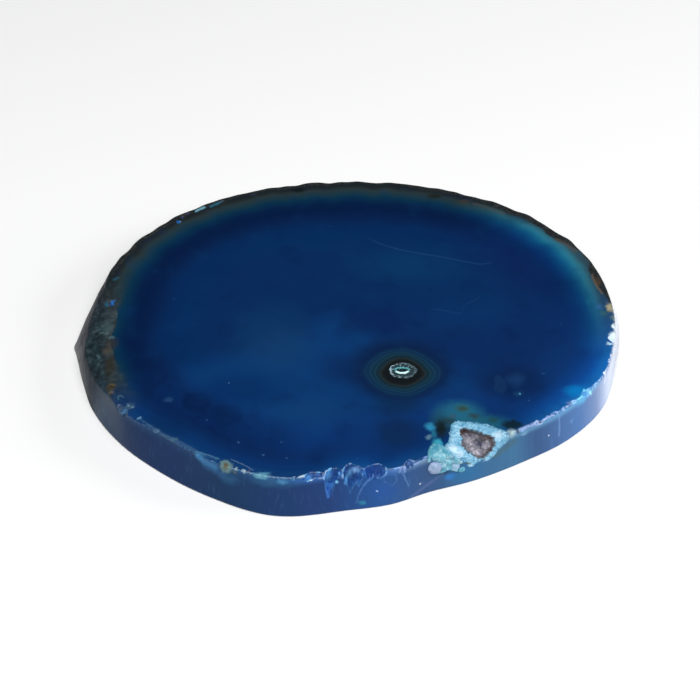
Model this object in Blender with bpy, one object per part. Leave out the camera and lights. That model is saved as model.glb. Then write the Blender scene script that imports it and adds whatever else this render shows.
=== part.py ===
"""A slab of blue dyed agate, sawn flat on both faces and polished, about 205 mm long and 15 mm thick.

It lies on its base. The origin is the middle of its footprint on the surface it lies on, +Z is up, +X is its
length and -Y is its front. The front and right are polished down the side, and the left and back keep the rind
of the nodule it was cut from. A hollow lined with quartz crystals breaks through the front right edge, and a
small eye near the front has quartz of its own.

Lengths below are in millimetres and bearings in degrees, anticlockwise from +X seen from above. They are turned
into metres where a mesh is made.
"""

import math

import bmesh
import bpy
import numpy as np

MM = 0.001

# The slab
THICKNESS = 15.0
# The rim of the polished top face, anticlockwise from the right.
TOP_RIM = [
    (98.9, 4.0), (98.0, 13.0), (94.6, 28.0), (87.6, 43.0), (76.8, 55.6), (66.0, 64.8), (54.6, 71.3),
    (38.6, 77.8), (20.5, 81.9), (-15.0, 81.9), (-47.0, 73.2), (-69.4, 58.5), (-88.0, 33.0), (-94.0, 1.0),
    (-95.4, -13.5), (-86.2, -38.5), (-79.2, -50.0), (-66.4, -60.1), (-39.0, -78.4), (-17.0, -82.7),
    (-2.0, -79.2), (18.5, -77.4), (27.5, -72.4), (43.6, -66.1), (60.0, -59.4), (80.3, -45.1), (92.0, -31.0),
    (97.4, -13.0),
]
# The rim of the base. At the left and back it stands further out than the top, as the rind slopes. Three close
# points keep its left end a corner.
BASE_RIM = [
    (102.6, 8.0), (102.3, 24.0), (93.5, 48.0), (71.5, 67.5), (40.0, 81.0), (6.0, 86.2), (-28.0, 85.0),
    (-60.0, 75.0), (-80.0, 61.5), (-92.2, 43.2), (-98.9, 20.4), (-102.0, 4.2), (-102.7, 0.4), (-101.7, -3.0),
    (-97.2, -20.0), (-92.9, -33.0), (-81.3, -50.9), (-67.3, -64.3), (-48.0, -77.4), (-26.0, -86.3),
    (0.2, -83.8), (15.5, -80.8), (27.8, -75.3), (44.8, -69.2), (62.9, -59.7), (78.4, -49.4), (92.4, -33.0),
    (99.6, -8.8),
]
MEAN_REACH = 90.0  # from the middle to the side, near enough to turn a length along the side into a bearing
COLUMN_STEP = 2.2  # degrees between the columns of points round the wall
LEAST_STEP = 0.55
CLOSE_COLUMNS = (289.0, 321.0)  # past the hollow and its beads the columns stand half a step apart
WALL_ROWS = 5

# The edge between the top face and the side: a narrow polished bevel, worn wide and round at the left.
BEVEL = 0.6
BASE_BEVEL = 0.3
# Each row of the edge, as shares of its width and of its drop.
EDGE_ROWS = [(0.36, 0.2), (0.72, 0.5)]
WORN_BEARING, WORN_SPREAD, WORN_WIDTH, WORN_DROP = 187.0, 17.0, 9.0, 3.2
WORN_RELIEF = 0.9

# The rind runs anticlockwise from the first bearing to the second, and fades over a few degrees at each end.
# It is lumpy at the back and nearly even at the left, from the third bearing on.
RIND_FROM, RIND_TO, RIND_FADE = 16.0, 205.0, 8.0
RIND_RELIEF = 1.3
EVEN_FROM, EVEN_FADE, EVEN_SHARE = 118.0, 30.0, 0.8
RIM_SCALLOPS = 0.4

# Flakes broken off the front edge: bearing, half width along the edge, depth into the top, height down the side.
CHIPS = [
    (211.5, 3.6, 1.5, 2.0),
    (261.5, 4.4, 1.4, 1.8),
    (266.3, 2.8, 2.0, 9.5),
    (271.4, 3.8, 2.6, 7.5),
    (277.0, 4.4, 2.4, 4.0),
    (285.6, 2.2, 1.8, 3.2),
    (317.5, 1.8, 0.9, 1.6),
    (320.4, 1.4, 1.2, 1.1),
    (323.0, 1.9, 0.8, 1.7),
    (325.6, 1.3, 1.3, 1.2),
    (328.2, 2.0, 1.0, 1.9),
    (331.0, 1.6, 1.3, 1.4),
    (335.6, 3.8, 1.8, 4.2),
    (353.8, 2.4, 2.8, 4.0),
    (357.8, 1.6, 1.8, 3.0),
]
CHIP_COLUMNS = (-1.0, -0.5, 0.0, 0.5, 1.0)  # where a flake has columns of its own, in shares of its half width

# The crystal hollow sits astride the edge. Across the edge, plus is in over the top and minus is down the side.
HOLLOW_AT = (45.3, -65.5)
EDGE_DIRECTION = (0.934, 0.357)
SIDE_LEAN = 0.17  # how far the side stands out for each millimetre down
EDGE_ROUNDING = 2.5
# The mouth of the open hollow, and the outer edge of the pale quartz round it, as (along, across).
MOUTH = [
    (-2.9, 8.4), (-0.6, 8.0), (1.8, 6.0), (4.0, 3.6), (6.8, 0.2), (7.0, -2.4), (5.2, -4.9), (1.6, -7.4),
    (-0.8, -5.8), (-4.2, -2.2), (-5.4, 0.8), (-4.2, 4.4),
]
QUARTZ_EDGE = [
    (-4.0, 12.6), (1.0, 11.2), (6.0, 8.2), (10.0, 3.8), (12.4, -0.4), (8.6, -4.9), (4.6, -8.2), (-0.6, -9.8),
    (-3.6, -10.6), (-6.4, -7.4), (-10.4, -3.4), (-12.0, 0.6), (-8.8, 5.6), (-6.6, 9.6),
]
HOLLOW_DEPTH = 9.0  # from the rounded edge straight into the stone
CRUST_DEPTH = 11.8
# Each ring of the crust's back: its share of the quartz edge, and its distance into the stone.
CRUST_BACK = [(1.0, 1.2), (0.86, 3.4), (0.66, 6.4), (0.42, 9.4), (0.16, 11.4)]
CRUST_COLUMNS = 30
BOWL_SHARES = (0.22, 0.46, 0.7, 0.91)  # rings of the open hollow, in shares of its mouth
LIP_SHARES = (0.0, 0.33, 0.66)  # rings of the pale quartz, in shares of the way out to its edge
FIT_GAP = 0.3
POINT_HEIGHT = 1.6  # crystals in the hollow
SUGAR_HEIGHT = 0.32  # grains of the pale quartz
UNEVEN = 0.3  # how far a crystal's corners stray, as a share of the space between them
RING_STRAY = 0.036  # how far they stray towards the middle, as a share of the mouth

# Round beads of chalcedony by the hollow: along, across, radius.
BEADS = [
    (-15.9, -0.4, 2.0), (-13.9, -1.2, 2.5), (-16.3, -4.6, 3.0), (-11.5, -4.0, 2.3), (-8.9, -6.6, 2.1),
    (-6.4, -9.0, 1.7),
]
BEAD_SUNK = 0.45  # how far a bead's middle lies inside the edge, as a share of its radius

# The eye: an oval of quartz in the top face, with a slot that was never filled.
EYE_AT = (20.0, -28.4)
EYE_HALF = (5.1, 4.2)
EYE_DEPTH = 3.2
EYE_BACK = [(1.0, 0.9), (0.86, 2.0), (0.5, 2.9)]
EYE_COLUMNS = 24
EYE_POINT_HEIGHT = 0.22
SLOT_AT, SLOT_HALF, SLOT_DEPTH = (-0.4, 0.3), (2.4, 1.2), 1.9
SLOT_ROWS = [(0.55, 0.85), (0.9, 0.45)]  # shares of the slot's half width and of its depth

CUTTER_MARGIN = 4.0  # how far a cutter's open end stands out of the stone
INTO_EDGE = math.sqrt(0.5)


def clear_scene():
    for thing in list(bpy.data.objects):
        bpy.data.objects.remove(thing, do_unlink=True)


def round_curve(points, bearing):
    """The distance from the middle at each bearing, in radians, on a smooth closed curve through the points.

    Between two points it is the cubic that meets both with the slopes of a Catmull-Rom curve.
    """
    points = np.array(points)
    angle = np.arctan2(points[:, 1], points[:, 0]) % math.tau
    order = np.argsort(angle)
    angle = angle[order]
    reach = np.hypot(points[order, 0], points[order, 1])
    angle = np.concatenate([angle[-2:] - math.tau, angle, angle[:2] + math.tau])
    reach = np.concatenate([reach[-2:], reach, reach[:2]])
    slope = np.gradient(reach, angle)
    at = np.asarray(bearing) % math.tau
    k = np.searchsorted(angle, at, side="right") - 1
    span = angle[k + 1] - angle[k]
    t = (at - angle[k]) / span
    return (
        (2 * t**3 - 3 * t**2 + 1) * reach[k]
        + (t**3 - 2 * t**2 + t) * span * slope[k]
        + (3 * t**2 - 2 * t**3) * reach[k + 1]
        + (t**3 - t**2) * span * slope[k + 1]
    )


def apart(bearing, centre):
    """Degrees from a centre bearing, between -180 and 180."""
    return (np.degrees(bearing) - centre + 180.0) % 360.0 - 180.0


def eased(share):
    share = np.clip(share, 0.0, 1.0)
    return share * share * (3.0 - 2.0 * share)


def rind_share(bearing):
    """1 on the rind, 0 on the polished side."""
    middle = (RIND_FROM + RIND_TO) / 2
    half = (RIND_TO - RIND_FROM) / 2
    return eased((half - np.abs(apart(bearing, middle))) / RIND_FADE)


def rind_relief(bearing):
    """The height of the rind's lumps in millimetres, less where the rind is even."""
    even = EVEN_SHARE * eased((np.degrees(bearing) % 360.0 - EVEN_FROM) / EVEN_FADE)
    return RIND_RELIEF * rind_share(bearing) * (1.0 - even)


def rind_lumps(bearing, height):
    """Swells of the rind, from -1 to 1 or so: crossed sine waves round the slab and up its side."""
    broad = np.sin(13 * bearing + 0.9) * np.cos(0.13 * height + 0.4)
    middling = np.sin(31 * bearing - 0.28 * height + 2.0)
    short = np.sin(53 * bearing + 0.55 * height) * np.sin(0.6 * height + 17 * bearing)
    return 0.5 * broad + 0.35 * middling + 0.35 * short


def rim_scallops(bearing):
    """Small uneven swells of the rind where the top face cuts it, in millimetres."""
    waves = np.sin(29 * bearing + 1.0) + np.sin(43 * bearing + 2.3) * np.cos(7 * bearing)
    waves = 0.5 * waves + 0.4 * np.sin(67 * bearing) * np.cos(11 * bearing + 1.0)
    return RIM_SCALLOPS * rind_share(bearing) * waves


def worn(bearing):
    return np.exp(-((apart(bearing, WORN_BEARING) / WORN_SPREAD) ** 4))


def chip(bearing, reach):
    """How far the flakes cut into the top and down the side at each bearing, in millimetres."""
    deep = np.zeros_like(bearing)
    tall = np.zeros_like(bearing)
    for centre, half_width, depth, height in CHIPS:
        along = np.radians(apart(bearing, centre)) * reach
        share = np.clip(1.0 - np.abs(along / half_width) ** 1.6, 0.0, 1.0)
        deep = np.maximum(deep, depth * share)
        tall = np.maximum(tall, height * np.sqrt(share))
    return deep, tall


def column_bearings():
    """Even columns, closer together past the hollow and its beads, with one at each chip's middle and ends."""
    even = np.radians(np.arange(0.0, 360.0, COLUMN_STEP))
    close = np.radians(np.arange(*CLOSE_COLUMNS, COLUMN_STEP / 2))
    at_chips = []
    for centre, half_width, _, _ in CHIPS:
        at_chips += [math.radians(centre) + half_width / MEAN_REACH * share for share in CHIP_COLUMNS]
    wanted = np.sort(np.concatenate([even, close, np.array(at_chips) % math.tau]))
    kept = [wanted[0]]
    for bearing in wanted[1:]:
        if bearing - kept[-1] >= math.radians(LEAST_STEP):
            kept.append(bearing)
    return np.array(kept)


def slab_rows(bearing):
    """(distance from the middle, height) of each row of points, from the flat top's rim to the base's."""
    top = round_curve(TOP_RIM, bearing) + rim_scallops(bearing)
    base = round_curve(BASE_RIM, bearing)
    wear = worn(bearing)
    deep, tall = chip(bearing, top)
    inset = np.maximum(BEVEL + (WORN_WIDTH - BEVEL) * wear, deep + BEVEL)
    drop = np.maximum(BEVEL + (WORN_DROP - BEVEL) * wear, tall)

    def side(height):
        straight = base + (top - base) * height / THICKNESS
        swell = np.sin(math.pi * np.clip(height / THICKNESS, 0.0, 1.0)) ** 0.5
        return straight + rind_relief(bearing) * swell * rind_lumps(bearing, height)

    flat_rim = top - inset
    upper = THICKNESS - drop
    rows = [(flat_rim, np.full_like(bearing, THICKNESS))]
    for share, fall in EDGE_ROWS:
        pits = WORN_RELIEF * wear * np.minimum(rind_lumps(1.7 * bearing, 9.0 * share), 0.0)
        rows.append((flat_rim + share * (side(upper) - flat_rim), THICKNESS - drop * fall + pits))
    for share in np.linspace(1.0, 0.0, WALL_ROWS):
        height = BASE_BEVEL + (upper - BASE_BEVEL) * share
        rows.append((side(height), height))
    rows.append((side(np.zeros_like(bearing)) - BASE_BEVEL, np.zeros_like(bearing)))
    return rows


def mesh_of(name, rows, first_tip=None, last_tip=None):
    """A closed mesh from rings of points, (n, 3) arrays in millimetres, with a flat or pointed end at each end."""
    count = len(rows[0])
    points = [tuple(point * MM) for row in rows for point in row]
    faces = []
    for row in range(len(rows) - 1):
        for column in range(count):
            beside = (column + 1) % count
            here = row * count
            below = here + count
            faces.append((here + column, below + column, below + beside, here + beside))
    for tip, start, turned in ((first_tip, 0, False), (last_tip, (len(rows) - 1) * count, True)):
        ring = list(range(start, start + count))
        if turned:
            ring.reverse()
        if tip is None:
            faces.append(tuple(ring))
            continue
        points.append(tuple(np.array(tip) * MM))
        peak = len(points) - 1
        faces += [(ring[i], ring[(i + 1) % count], peak) for i in range(count)]
    mesh = bpy.data.meshes.new(name)
    mesh.from_pydata(points, [], faces)
    mesh.update()
    return mesh


def faced_outwards(mesh):
    work = bmesh.new()
    work.from_mesh(mesh)
    bmesh.ops.recalc_face_normals(work, faces=work.faces)
    work.to_mesh(mesh)
    work.free()


def new_object(name, mesh, material=None):
    made = bpy.data.objects.new(name, mesh)
    bpy.context.scene.collection.objects.link(made)
    if material:
        mesh.materials.append(material)
    return made


def material(name, colour, roughness):
    made = bpy.data.materials.new(name)
    made.use_nodes = True
    shader = made.node_tree.nodes["Principled BSDF"]
    shader.inputs["Base Color"].default_value = (*colour, 1.0)
    shader.inputs["Roughness"].default_value = roughness
    shader.inputs["Metallic"].default_value = 0.0
    return made


def cut(target, cutter, operation):
    """Cuts or joins one object with another, which stays in the scene as a guide."""
    cutter.hide_render = True
    cutter.display_type = "WIRE"
    change = target.modifiers.new(cutter.name, "BOOLEAN")
    change.operation = operation
    change.object = cutter
    change.solver = "EXACT"


def across_edge(along, across, into=0.0):
    """Points in millimetres on the rounded edge of the slab, or a distance straight into the stone from it.

    The edge is a hyperbola between the top face and the side: going in over the top it drops less and less.
    """
    along = np.asarray(along, dtype=float)
    across = np.asarray(across, dtype=float)
    rounding = np.hypot(across, EDGE_ROUNDING)
    inward = (across + rounding) / 2
    down = (rounding - across) / 2
    lengthwise = np.array([EDGE_DIRECTION[0], EDGE_DIRECTION[1], 0.0])
    outward = np.array([EDGE_DIRECTION[1], -EDGE_DIRECTION[0], 0.0])
    upward = np.array([0.0, 0.0, 1.0])
    start = np.array([HOLLOW_AT[0], HOLLOW_AT[1], THICKNESS])
    deep = np.asarray(into, dtype=float)[..., None] * INTO_EDGE
    return (
        start
        + along[..., None] * lengthwise
        - inward[..., None] * outward
        - down[..., None] * (upward - SIDE_LEAN * outward)
        - deep * (outward + upward)
    )


def hollow_ring(turn, mouth_share, edge_share, into, wider=0.0):
    """A ring round the hollow, a mix of its mouth and its quartz edge, each scaled towards the hollow's middle."""
    reach = mouth_share * round_curve(MOUTH, turn) + edge_share * round_curve(QUARTZ_EDGE, turn)
    reach = reach + wider
    return across_edge(reach * np.cos(turn), reach * np.sin(turn), into)


def quartz_crust_rows(turn, seed):
    """Rings of the crust, from the bottom of the hollow out over its mouth and quartz edge and round the back."""
    draw = np.random.default_rng(seed)
    step = UNEVEN * math.tau / len(turn)
    rows = []
    for share in BOWL_SHARES:
        strayed = turn + draw.uniform(-step, step, len(turn))
        reach = share + draw.uniform(-RING_STRAY, RING_STRAY, len(turn))
        rows.append(hollow_ring(strayed, reach, 0.0, HOLLOW_DEPTH * (1.0 - reach**2) ** 0.7))
    for share in LIP_SHARES:
        strayed = turn + draw.uniform(-step, step, len(turn))
        rows.append(hollow_ring(strayed, 1.0 - share, share, 0.0))
    rows.append(hollow_ring(turn, 0.0, 1.0, 0.0))
    for share, into in CRUST_BACK:
        rows.append(hollow_ring(turn, 0.0, share, into))
    return rows


def grow_points(mesh, rows, columns, height_at, seed):
    """Raises each face of the first rows into a pointed crystal with flat sides, of uneven height and lean."""
    draw = np.random.default_rng(seed)
    work = bmesh.new()
    work.from_mesh(mesh)
    work.faces.ensure_lookup_table()
    chosen = []
    for row in range(rows):
        chosen += [(work.faces[row * columns + column], height_at(row)) for column in range(columns)]
    for face, height in chosen:
        grown = height * draw.uniform(0.45, 1.0)
        size = math.sqrt(face.calc_area())
        lean = draw.uniform(-0.18, 0.18, 3) * size
        made = bmesh.ops.poke(work, faces=[face], offset=grown * MM, center_mode="MEAN_WEIGHTED")
        for tip in made["verts"]:
            tip.co.x += lean[0]
            tip.co.y += lean[1]
            tip.co.z += 0.4 * lean[2]
    work.to_mesh(mesh)
    work.free()


def make_quartz_crust(finish):
    turn = np.linspace(0.0, math.tau, CRUST_COLUMNS, endpoint=False)
    rows = quartz_crust_rows(turn, seed=11)
    deepest = across_edge(0.0, 0.0, HOLLOW_DEPTH)
    behind = across_edge(0.0, 0.0, CRUST_DEPTH)
    mesh = mesh_of("quartz_crust", rows, first_tip=deepest, last_tip=behind)
    faced_outwards(mesh)

    def height_at(row):
        return POINT_HEIGHT if row < len(BOWL_SHARES) - 1 else SUGAR_HEIGHT

    grow_points(mesh, len(BOWL_SHARES) + len(LIP_SHARES), CRUST_COLUMNS, height_at, seed=3)
    return new_object("quartz_crust", mesh, finish)


def make_hollow_cutter():
    """The pocket that holds the crust, wider than it by the gap, and standing out of the stone at its open end."""
    turn = np.linspace(0.0, math.tau, CRUST_COLUMNS, endpoint=False)
    rows = [hollow_ring(turn, 0.0, 1.0, -CUTTER_MARGIN, FIT_GAP)]
    for share, into in CRUST_BACK:
        rows.append(hollow_ring(turn, 0.0, share, into, FIT_GAP))
    outside = across_edge(0.0, 0.0, -1.5 * CUTTER_MARGIN)
    behind = across_edge(0.0, 0.0, CRUST_DEPTH + FIT_GAP)
    mesh = mesh_of("hollow_cutter", rows, first_tip=outside, last_tip=behind)
    faced_outwards(mesh)
    return new_object("hollow_cutter", mesh)


def oval(turn, half, height, at=(0.0, 0.0)):
    """A level oval ring about the eye's middle, at a height in millimetres."""
    x = EYE_AT[0] + at[0] + half[0] * np.cos(turn)
    y = EYE_AT[1] + at[1] + half[1] * np.sin(turn)
    return np.stack([x, y, np.full_like(x, height)], axis=-1)


def scaled(half, share, wider=0.0):
    return tuple(share * side + wider for side in half)


def make_eye_crust(finish):
    turn = np.linspace(0.0, math.tau, EYE_COLUMNS, endpoint=False)
    rows = []
    for share, depth_share in SLOT_ROWS:
        rows.append(oval(turn, scaled(SLOT_HALF, share), THICKNESS - depth_share * SLOT_DEPTH, SLOT_AT))
    rows.append(oval(turn, SLOT_HALF, THICKNESS, SLOT_AT))
    rows.append(oval(turn, EYE_HALF, THICKNESS))
    rows += [oval(turn, scaled(EYE_HALF, share), THICKNESS - depth) for share, depth in EYE_BACK]
    slot_floor = (EYE_AT[0] + SLOT_AT[0], EYE_AT[1] + SLOT_AT[1], THICKNESS - SLOT_DEPTH)
    mesh = mesh_of("eye_crust", rows, first_tip=slot_floor, last_tip=(*EYE_AT, THICKNESS - EYE_DEPTH))
    faced_outwards(mesh)
    grow_points(mesh, len(SLOT_ROWS), EYE_COLUMNS, lambda row: EYE_POINT_HEIGHT, seed=5)
    return new_object("eye_crust", mesh, finish)


def make_eye_cutter():
    turn = np.linspace(0.0, math.tau, EYE_COLUMNS, endpoint=False)
    rows = [oval(turn, scaled(EYE_HALF, 1.0, FIT_GAP), THICKNESS + CUTTER_MARGIN)]
    for share, depth in EYE_BACK:
        rows.append(oval(turn, scaled(EYE_HALF, share, FIT_GAP), THICKNESS - depth - FIT_GAP))
    above = (*EYE_AT, THICKNESS + 1.5 * CUTTER_MARGIN)
    mesh = mesh_of("eye_cutter", rows, first_tip=above, last_tip=(*EYE_AT, THICKNESS - EYE_DEPTH - FIT_GAP))
    faced_outwards(mesh)
    return new_object("eye_cutter", mesh)


def make_bead(number, along, across, radius):
    """A bead with its middle a little inside the edge, so that it stands out by about half its width."""
    work = bmesh.new()
    bmesh.ops.create_icosphere(work, subdivisions=2, radius=radius * MM)
    middle = across_edge(along, across, BEAD_SUNK * radius) * MM
    bmesh.ops.translate(work, verts=work.verts, vec=middle)
    mesh = bpy.data.meshes.new(f"bead_{number}")
    work.to_mesh(mesh)
    work.free()
    return new_object(f"bead_{number}", mesh)


def make_slab(finish):
    bearing = column_bearings()
    rings = []
    for reach, height in slab_rows(bearing):
        rings.append(np.stack([reach * np.cos(bearing), reach * np.sin(bearing), height], axis=-1))
    mesh = mesh_of("agate_slab", rings)
    faced_outwards(mesh)
    slab = new_object("agate_slab", mesh, finish)
    for number, bead in enumerate(BEADS):
        cut(slab, make_bead(number, *bead), "UNION")
    cut(slab, make_hollow_cutter(), "DIFFERENCE")
    cut(slab, make_eye_cutter(), "DIFFERENCE")
    mesh.shade_smooth()
    mesh.set_sharp_from_angle(angle=math.radians(28.0))
    return slab


def build():
    clear_scene()
    blue_agate = material("polished blue agate", (0.004, 0.036, 0.11), 0.12)
    grey_quartz = material("grey quartz crystals", (0.36, 0.42, 0.47), 0.35)
    pale_quartz = material("pale quartz", (0.45, 0.68, 0.75), 0.25)
    make_slab(blue_agate)
    make_quartz_crust(grey_quartz)
    make_eye_crust(pale_quartz)


build()
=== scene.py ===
# %% [markdown]
# # A slab of blue dyed agate
# The real piece is one slice sawn from an agate nodule, soaked in blue dye and polished on its faces and on
# the front of its side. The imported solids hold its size, its broken front edge and the places of its crystals.
# This script builds the same forms again with a much finer surface, and gives them the finishes of the stone.
# It could be sculpted by hand, but a stone's outline is easiest to keep true when it is worked out from the
# same few named sizes as the solids. So every surface here is a formula on a grid of points.

import math

import bpy
import numpy as np
from mathutils import Matrix, Vector


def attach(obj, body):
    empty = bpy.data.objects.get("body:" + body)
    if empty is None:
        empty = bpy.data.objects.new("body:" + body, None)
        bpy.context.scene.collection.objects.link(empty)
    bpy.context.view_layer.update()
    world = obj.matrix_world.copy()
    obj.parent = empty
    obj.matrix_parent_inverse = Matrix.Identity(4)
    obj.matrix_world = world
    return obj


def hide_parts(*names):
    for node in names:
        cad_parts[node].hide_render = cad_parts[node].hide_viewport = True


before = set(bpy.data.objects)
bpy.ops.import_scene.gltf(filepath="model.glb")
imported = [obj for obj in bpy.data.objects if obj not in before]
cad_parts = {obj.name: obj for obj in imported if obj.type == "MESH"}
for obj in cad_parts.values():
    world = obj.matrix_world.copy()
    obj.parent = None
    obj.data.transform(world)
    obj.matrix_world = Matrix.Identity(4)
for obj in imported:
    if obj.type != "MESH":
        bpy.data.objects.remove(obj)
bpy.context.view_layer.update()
MM = 0.001  # lengths below are in millimetres, and become metres where a mesh is made

# %% [markdown]
# ## The camera
# The photograph was taken from in front, looking down at the slab at 42 degrees with a long lens. A camera can
# be aimed with a Track To constraint, but its place is worked out here from one point of the stone and the
# pixel where it is seen, so that the framing can be checked against the picture.

# %% Place the camera
PICTURE_SIDE = 700  # pixels
SENSOR_WIDTH = 36.0
FOCAL_PIXELS = 2160.0
LOOKS_DOWN = math.radians(42.0)
DISTANCE = 0.80
SEEN_POINT = Vector((-0.0006, -0.0062, 0.0075))
SEEN_AT_PIXEL = (346.0, 345.0)

ahead = Vector((0.0, math.cos(LOOKS_DOWN), -math.sin(LOOKS_DOWN)))
rightwards = Vector((1.0, 0.0, 0.0))
upwards = rightwards.cross(ahead)
metres_per_pixel = DISTANCE / FOCAL_PIXELS
from_middle = [(pixel - PICTURE_SIDE / 2) * metres_per_pixel for pixel in SEEN_AT_PIXEL]
stand = SEEN_POINT - DISTANCE * ahead - from_middle[0] * rightwards + from_middle[1] * upwards

camera = bpy.data.objects.new("camera", bpy.data.cameras.new("camera"))
camera.data.sensor_width = SENSOR_WIDTH
camera.data.lens = FOCAL_PIXELS / PICTURE_SIDE * SENSOR_WIDTH
turned = Matrix((rightwards, upwards, -ahead)).transposed().to_4x4()
camera.matrix_world = Matrix.Translation(stand) @ turned
bpy.context.scene.collection.objects.link(camera)
bpy.context.scene.camera = camera
print("camera at", [round(c, 3) for c in stand], "lens", round(camera.data.lens, 1), "mm")

# %% [markdown]
# ## Outlines
# The top face and the base are smooth closed curves through a few points. They are kept as a distance from the
# middle at each bearing, anticlockwise from the right, so that a wall is a straight blend from one to the other.

# %% The two outlines, and the curve through them
THICKNESS = 15.0
TOP_RIM = [
    (98.9, 4.0), (98.0, 13.0), (94.6, 28.0), (87.6, 43.0), (76.8, 55.6), (66.0, 64.8), (54.6, 71.3),
    (38.6, 77.8), (20.5, 81.9), (-15.0, 81.9), (-47.0, 73.2), (-69.4, 58.5), (-88.0, 33.0), (-94.0, 1.0),
    (-95.4, -13.5), (-86.2, -38.5), (-79.2, -50.0), (-66.4, -60.1), (-39.0, -78.4), (-17.0, -82.7),
    (-2.0, -79.2), (18.5, -77.4), (27.5, -72.4), (43.6, -66.1), (60.0, -59.4), (80.3, -45.1), (92.0, -31.0),
    (97.4, -13.0),
]
BASE_RIM = [
    (102.6, 8.0), (102.3, 24.0), (93.5, 48.0), (71.5, 67.5), (40.0, 81.0), (6.0, 86.2), (-28.0, 85.0),
    (-60.0, 75.0), (-80.0, 61.5), (-92.2, 43.2), (-98.9, 20.4), (-102.0, 4.2), (-102.7, 0.4), (-101.7, -3.0),
    (-97.2, -20.0), (-92.9, -33.0), (-81.3, -50.9), (-67.3, -64.3), (-48.0, -77.4), (-26.0, -86.3),
    (0.2, -83.8), (15.5, -80.8), (27.8, -75.3), (44.8, -69.2), (62.9, -59.7), (78.4, -49.4), (92.4, -33.0),
    (99.6, -8.8),
]


def round_curve(points, bearing):
    """The distance from the middle at each bearing, in radians, on a smooth closed curve through the points.

    Between two points it is the cubic that meets both with the slopes of a Catmull-Rom curve.
    """
    points = np.array(points)
    angle = np.arctan2(points[:, 1], points[:, 0]) % math.tau
    order = np.argsort(angle)
    angle = angle[order]
    reach = np.hypot(points[order, 0], points[order, 1])
    angle = np.concatenate([angle[-2:] - math.tau, angle, angle[:2] + math.tau])
    reach = np.concatenate([reach[-2:], reach, reach[:2]])
    slope = np.gradient(reach, angle)
    at = np.asarray(bearing) % math.tau
    k = np.searchsorted(angle, at, side="right") - 1
    span = angle[k + 1] - angle[k]
    t = (at - angle[k]) / span
    return (
        (2 * t**3 - 3 * t**2 + 1) * reach[k]
        + (t**3 - 2 * t**2 + t) * span * slope[k]
        + (3 * t**2 - 2 * t**3) * reach[k + 1]
        + (t**3 - t**2) * span * slope[k + 1]
    )


print("top rim", len(TOP_RIM), "points, base rim", len(BASE_RIM), "points")

# %% [markdown]
# ## Small tools for shapes
# Most of the stone's looks change as one goes round it, so `by_bearing` reads a value off a few stops round
# the slab. `eased` is the usual smooth step. `lumpy` is smooth noise in real millimetres, for the rind and for
# broken stone, where a sine wave would look too even.


# %% Smooth steps, values round the slab, and noise
def eased(share):
    """0 below 0, 1 above 1, and three squares less two cubes between."""
    share = np.clip(share, 0.0, 1.0)
    return share * share * (3.0 - 2.0 * share)


def apart(bearing, centre):
    """Degrees from a centre bearing, between -180 and 180."""
    return (np.degrees(bearing) - centre + 180.0) % 360.0 - 180.0


def by_bearing(bearing, *stops):
    """A value read off straight lines between (degrees, value) stops, right round the slab."""
    degrees, values = zip(*stops)
    return np.interp(np.degrees(bearing) % 360.0, degrees, values, period=360.0)


NOISE_CELLS = 32


def lumpy(points, size, seed):
    """Noise from -1 to 1: random values at the corners of cubes of that size, blended by the eased share."""
    values = np.random.default_rng(seed).uniform(-1.0, 1.0, (NOISE_CELLS,) * 3)
    scaled = np.asarray(points) / size
    cube = np.floor(scaled).astype(int)
    share = eased(scaled - cube)
    total = np.zeros(scaled.shape[:-1])
    for corner in np.ndindex(2, 2, 2):
        weight = np.prod(np.where(corner, share, 1.0 - share), axis=-1)
        at = np.moveaxis((cube + corner) % NOISE_CELLS, -1, 0)
        total += weight * values[at[0], at[1], at[2]]
    return total


print("noise at the middle:", round(float(lumpy([0.5, 0.5, 0.5], 1.0, 1)), 3))

# %% [markdown]
# ## Meshes from rings
# Each surface below is a stack of rings, all with the same number of points, closed at both ends by a fan to
# one tip. That has no seam and no open pole. The sign of the volume it holds says whether its faces point
# outwards, and where they don't, each face is turned round.


# %% A closed surface from rings of points
def ringed(rings, first_tip, last_tip):
    """Points in millimetres and the faces of a closed surface: squares between rings, and a fan at each end."""
    rings = np.asarray(rings)
    rows, columns = rings.shape[:2]
    points = np.concatenate([rings.reshape(-1, 3), [first_tip], [last_tip]])
    here = np.arange((rows - 1) * columns).reshape(rows - 1, columns)
    beside = np.roll(here, -1, axis=1)
    squares = np.stack([here, here + columns, beside + columns, beside], axis=-1).reshape(-1, 4)
    first = np.arange(columns)
    last = first + (rows - 1) * columns
    tips = len(points) - 2
    fans = np.concatenate([
        np.stack([first, np.roll(first, -1), np.full(columns, tips)], axis=-1),
        np.stack([np.roll(last, -1), last, np.full(columns, tips + 1)], axis=-1),
    ])
    corner = points[squares]
    volume = np.einsum("ij,ij->i", corner[:, 0], np.cross(corner[:, 1], corner[:, 2])).sum()
    volume += np.einsum("ij,ij->i", corner[:, 0], np.cross(corner[:, 2], corner[:, 3])).sum()
    if volume < 0.0:
        squares = squares[:, ::-1]
        fans = fans[:, ::-1]
    return points, squares, fans


def make_piece(name, surface, values, smooth):
    """One object from a ringed surface, with a number for each point under each name in values."""
    points, squares, fans = surface
    faces = squares.tolist() + fans.tolist()
    mesh = bpy.data.meshes.new(name)
    mesh.from_pydata((points * MM).tolist(), [], faces)
    for value_name, numbers in values.items():
        layer = mesh.attributes.new(value_name, "FLOAT", "POINT")
        layer.data.foreach_set("value", np.asarray(numbers, dtype=np.float32).ravel())
    mesh.polygons.foreach_set("use_smooth", np.broadcast_to(smooth, len(faces)))
    piece = bpy.data.objects.new(name, mesh)
    bpy.context.scene.collection.objects.link(piece)
    print(name, len(mesh.vertices), "points", sum(len(f) - 2 for f in faces), "triangles")
    return piece


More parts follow.
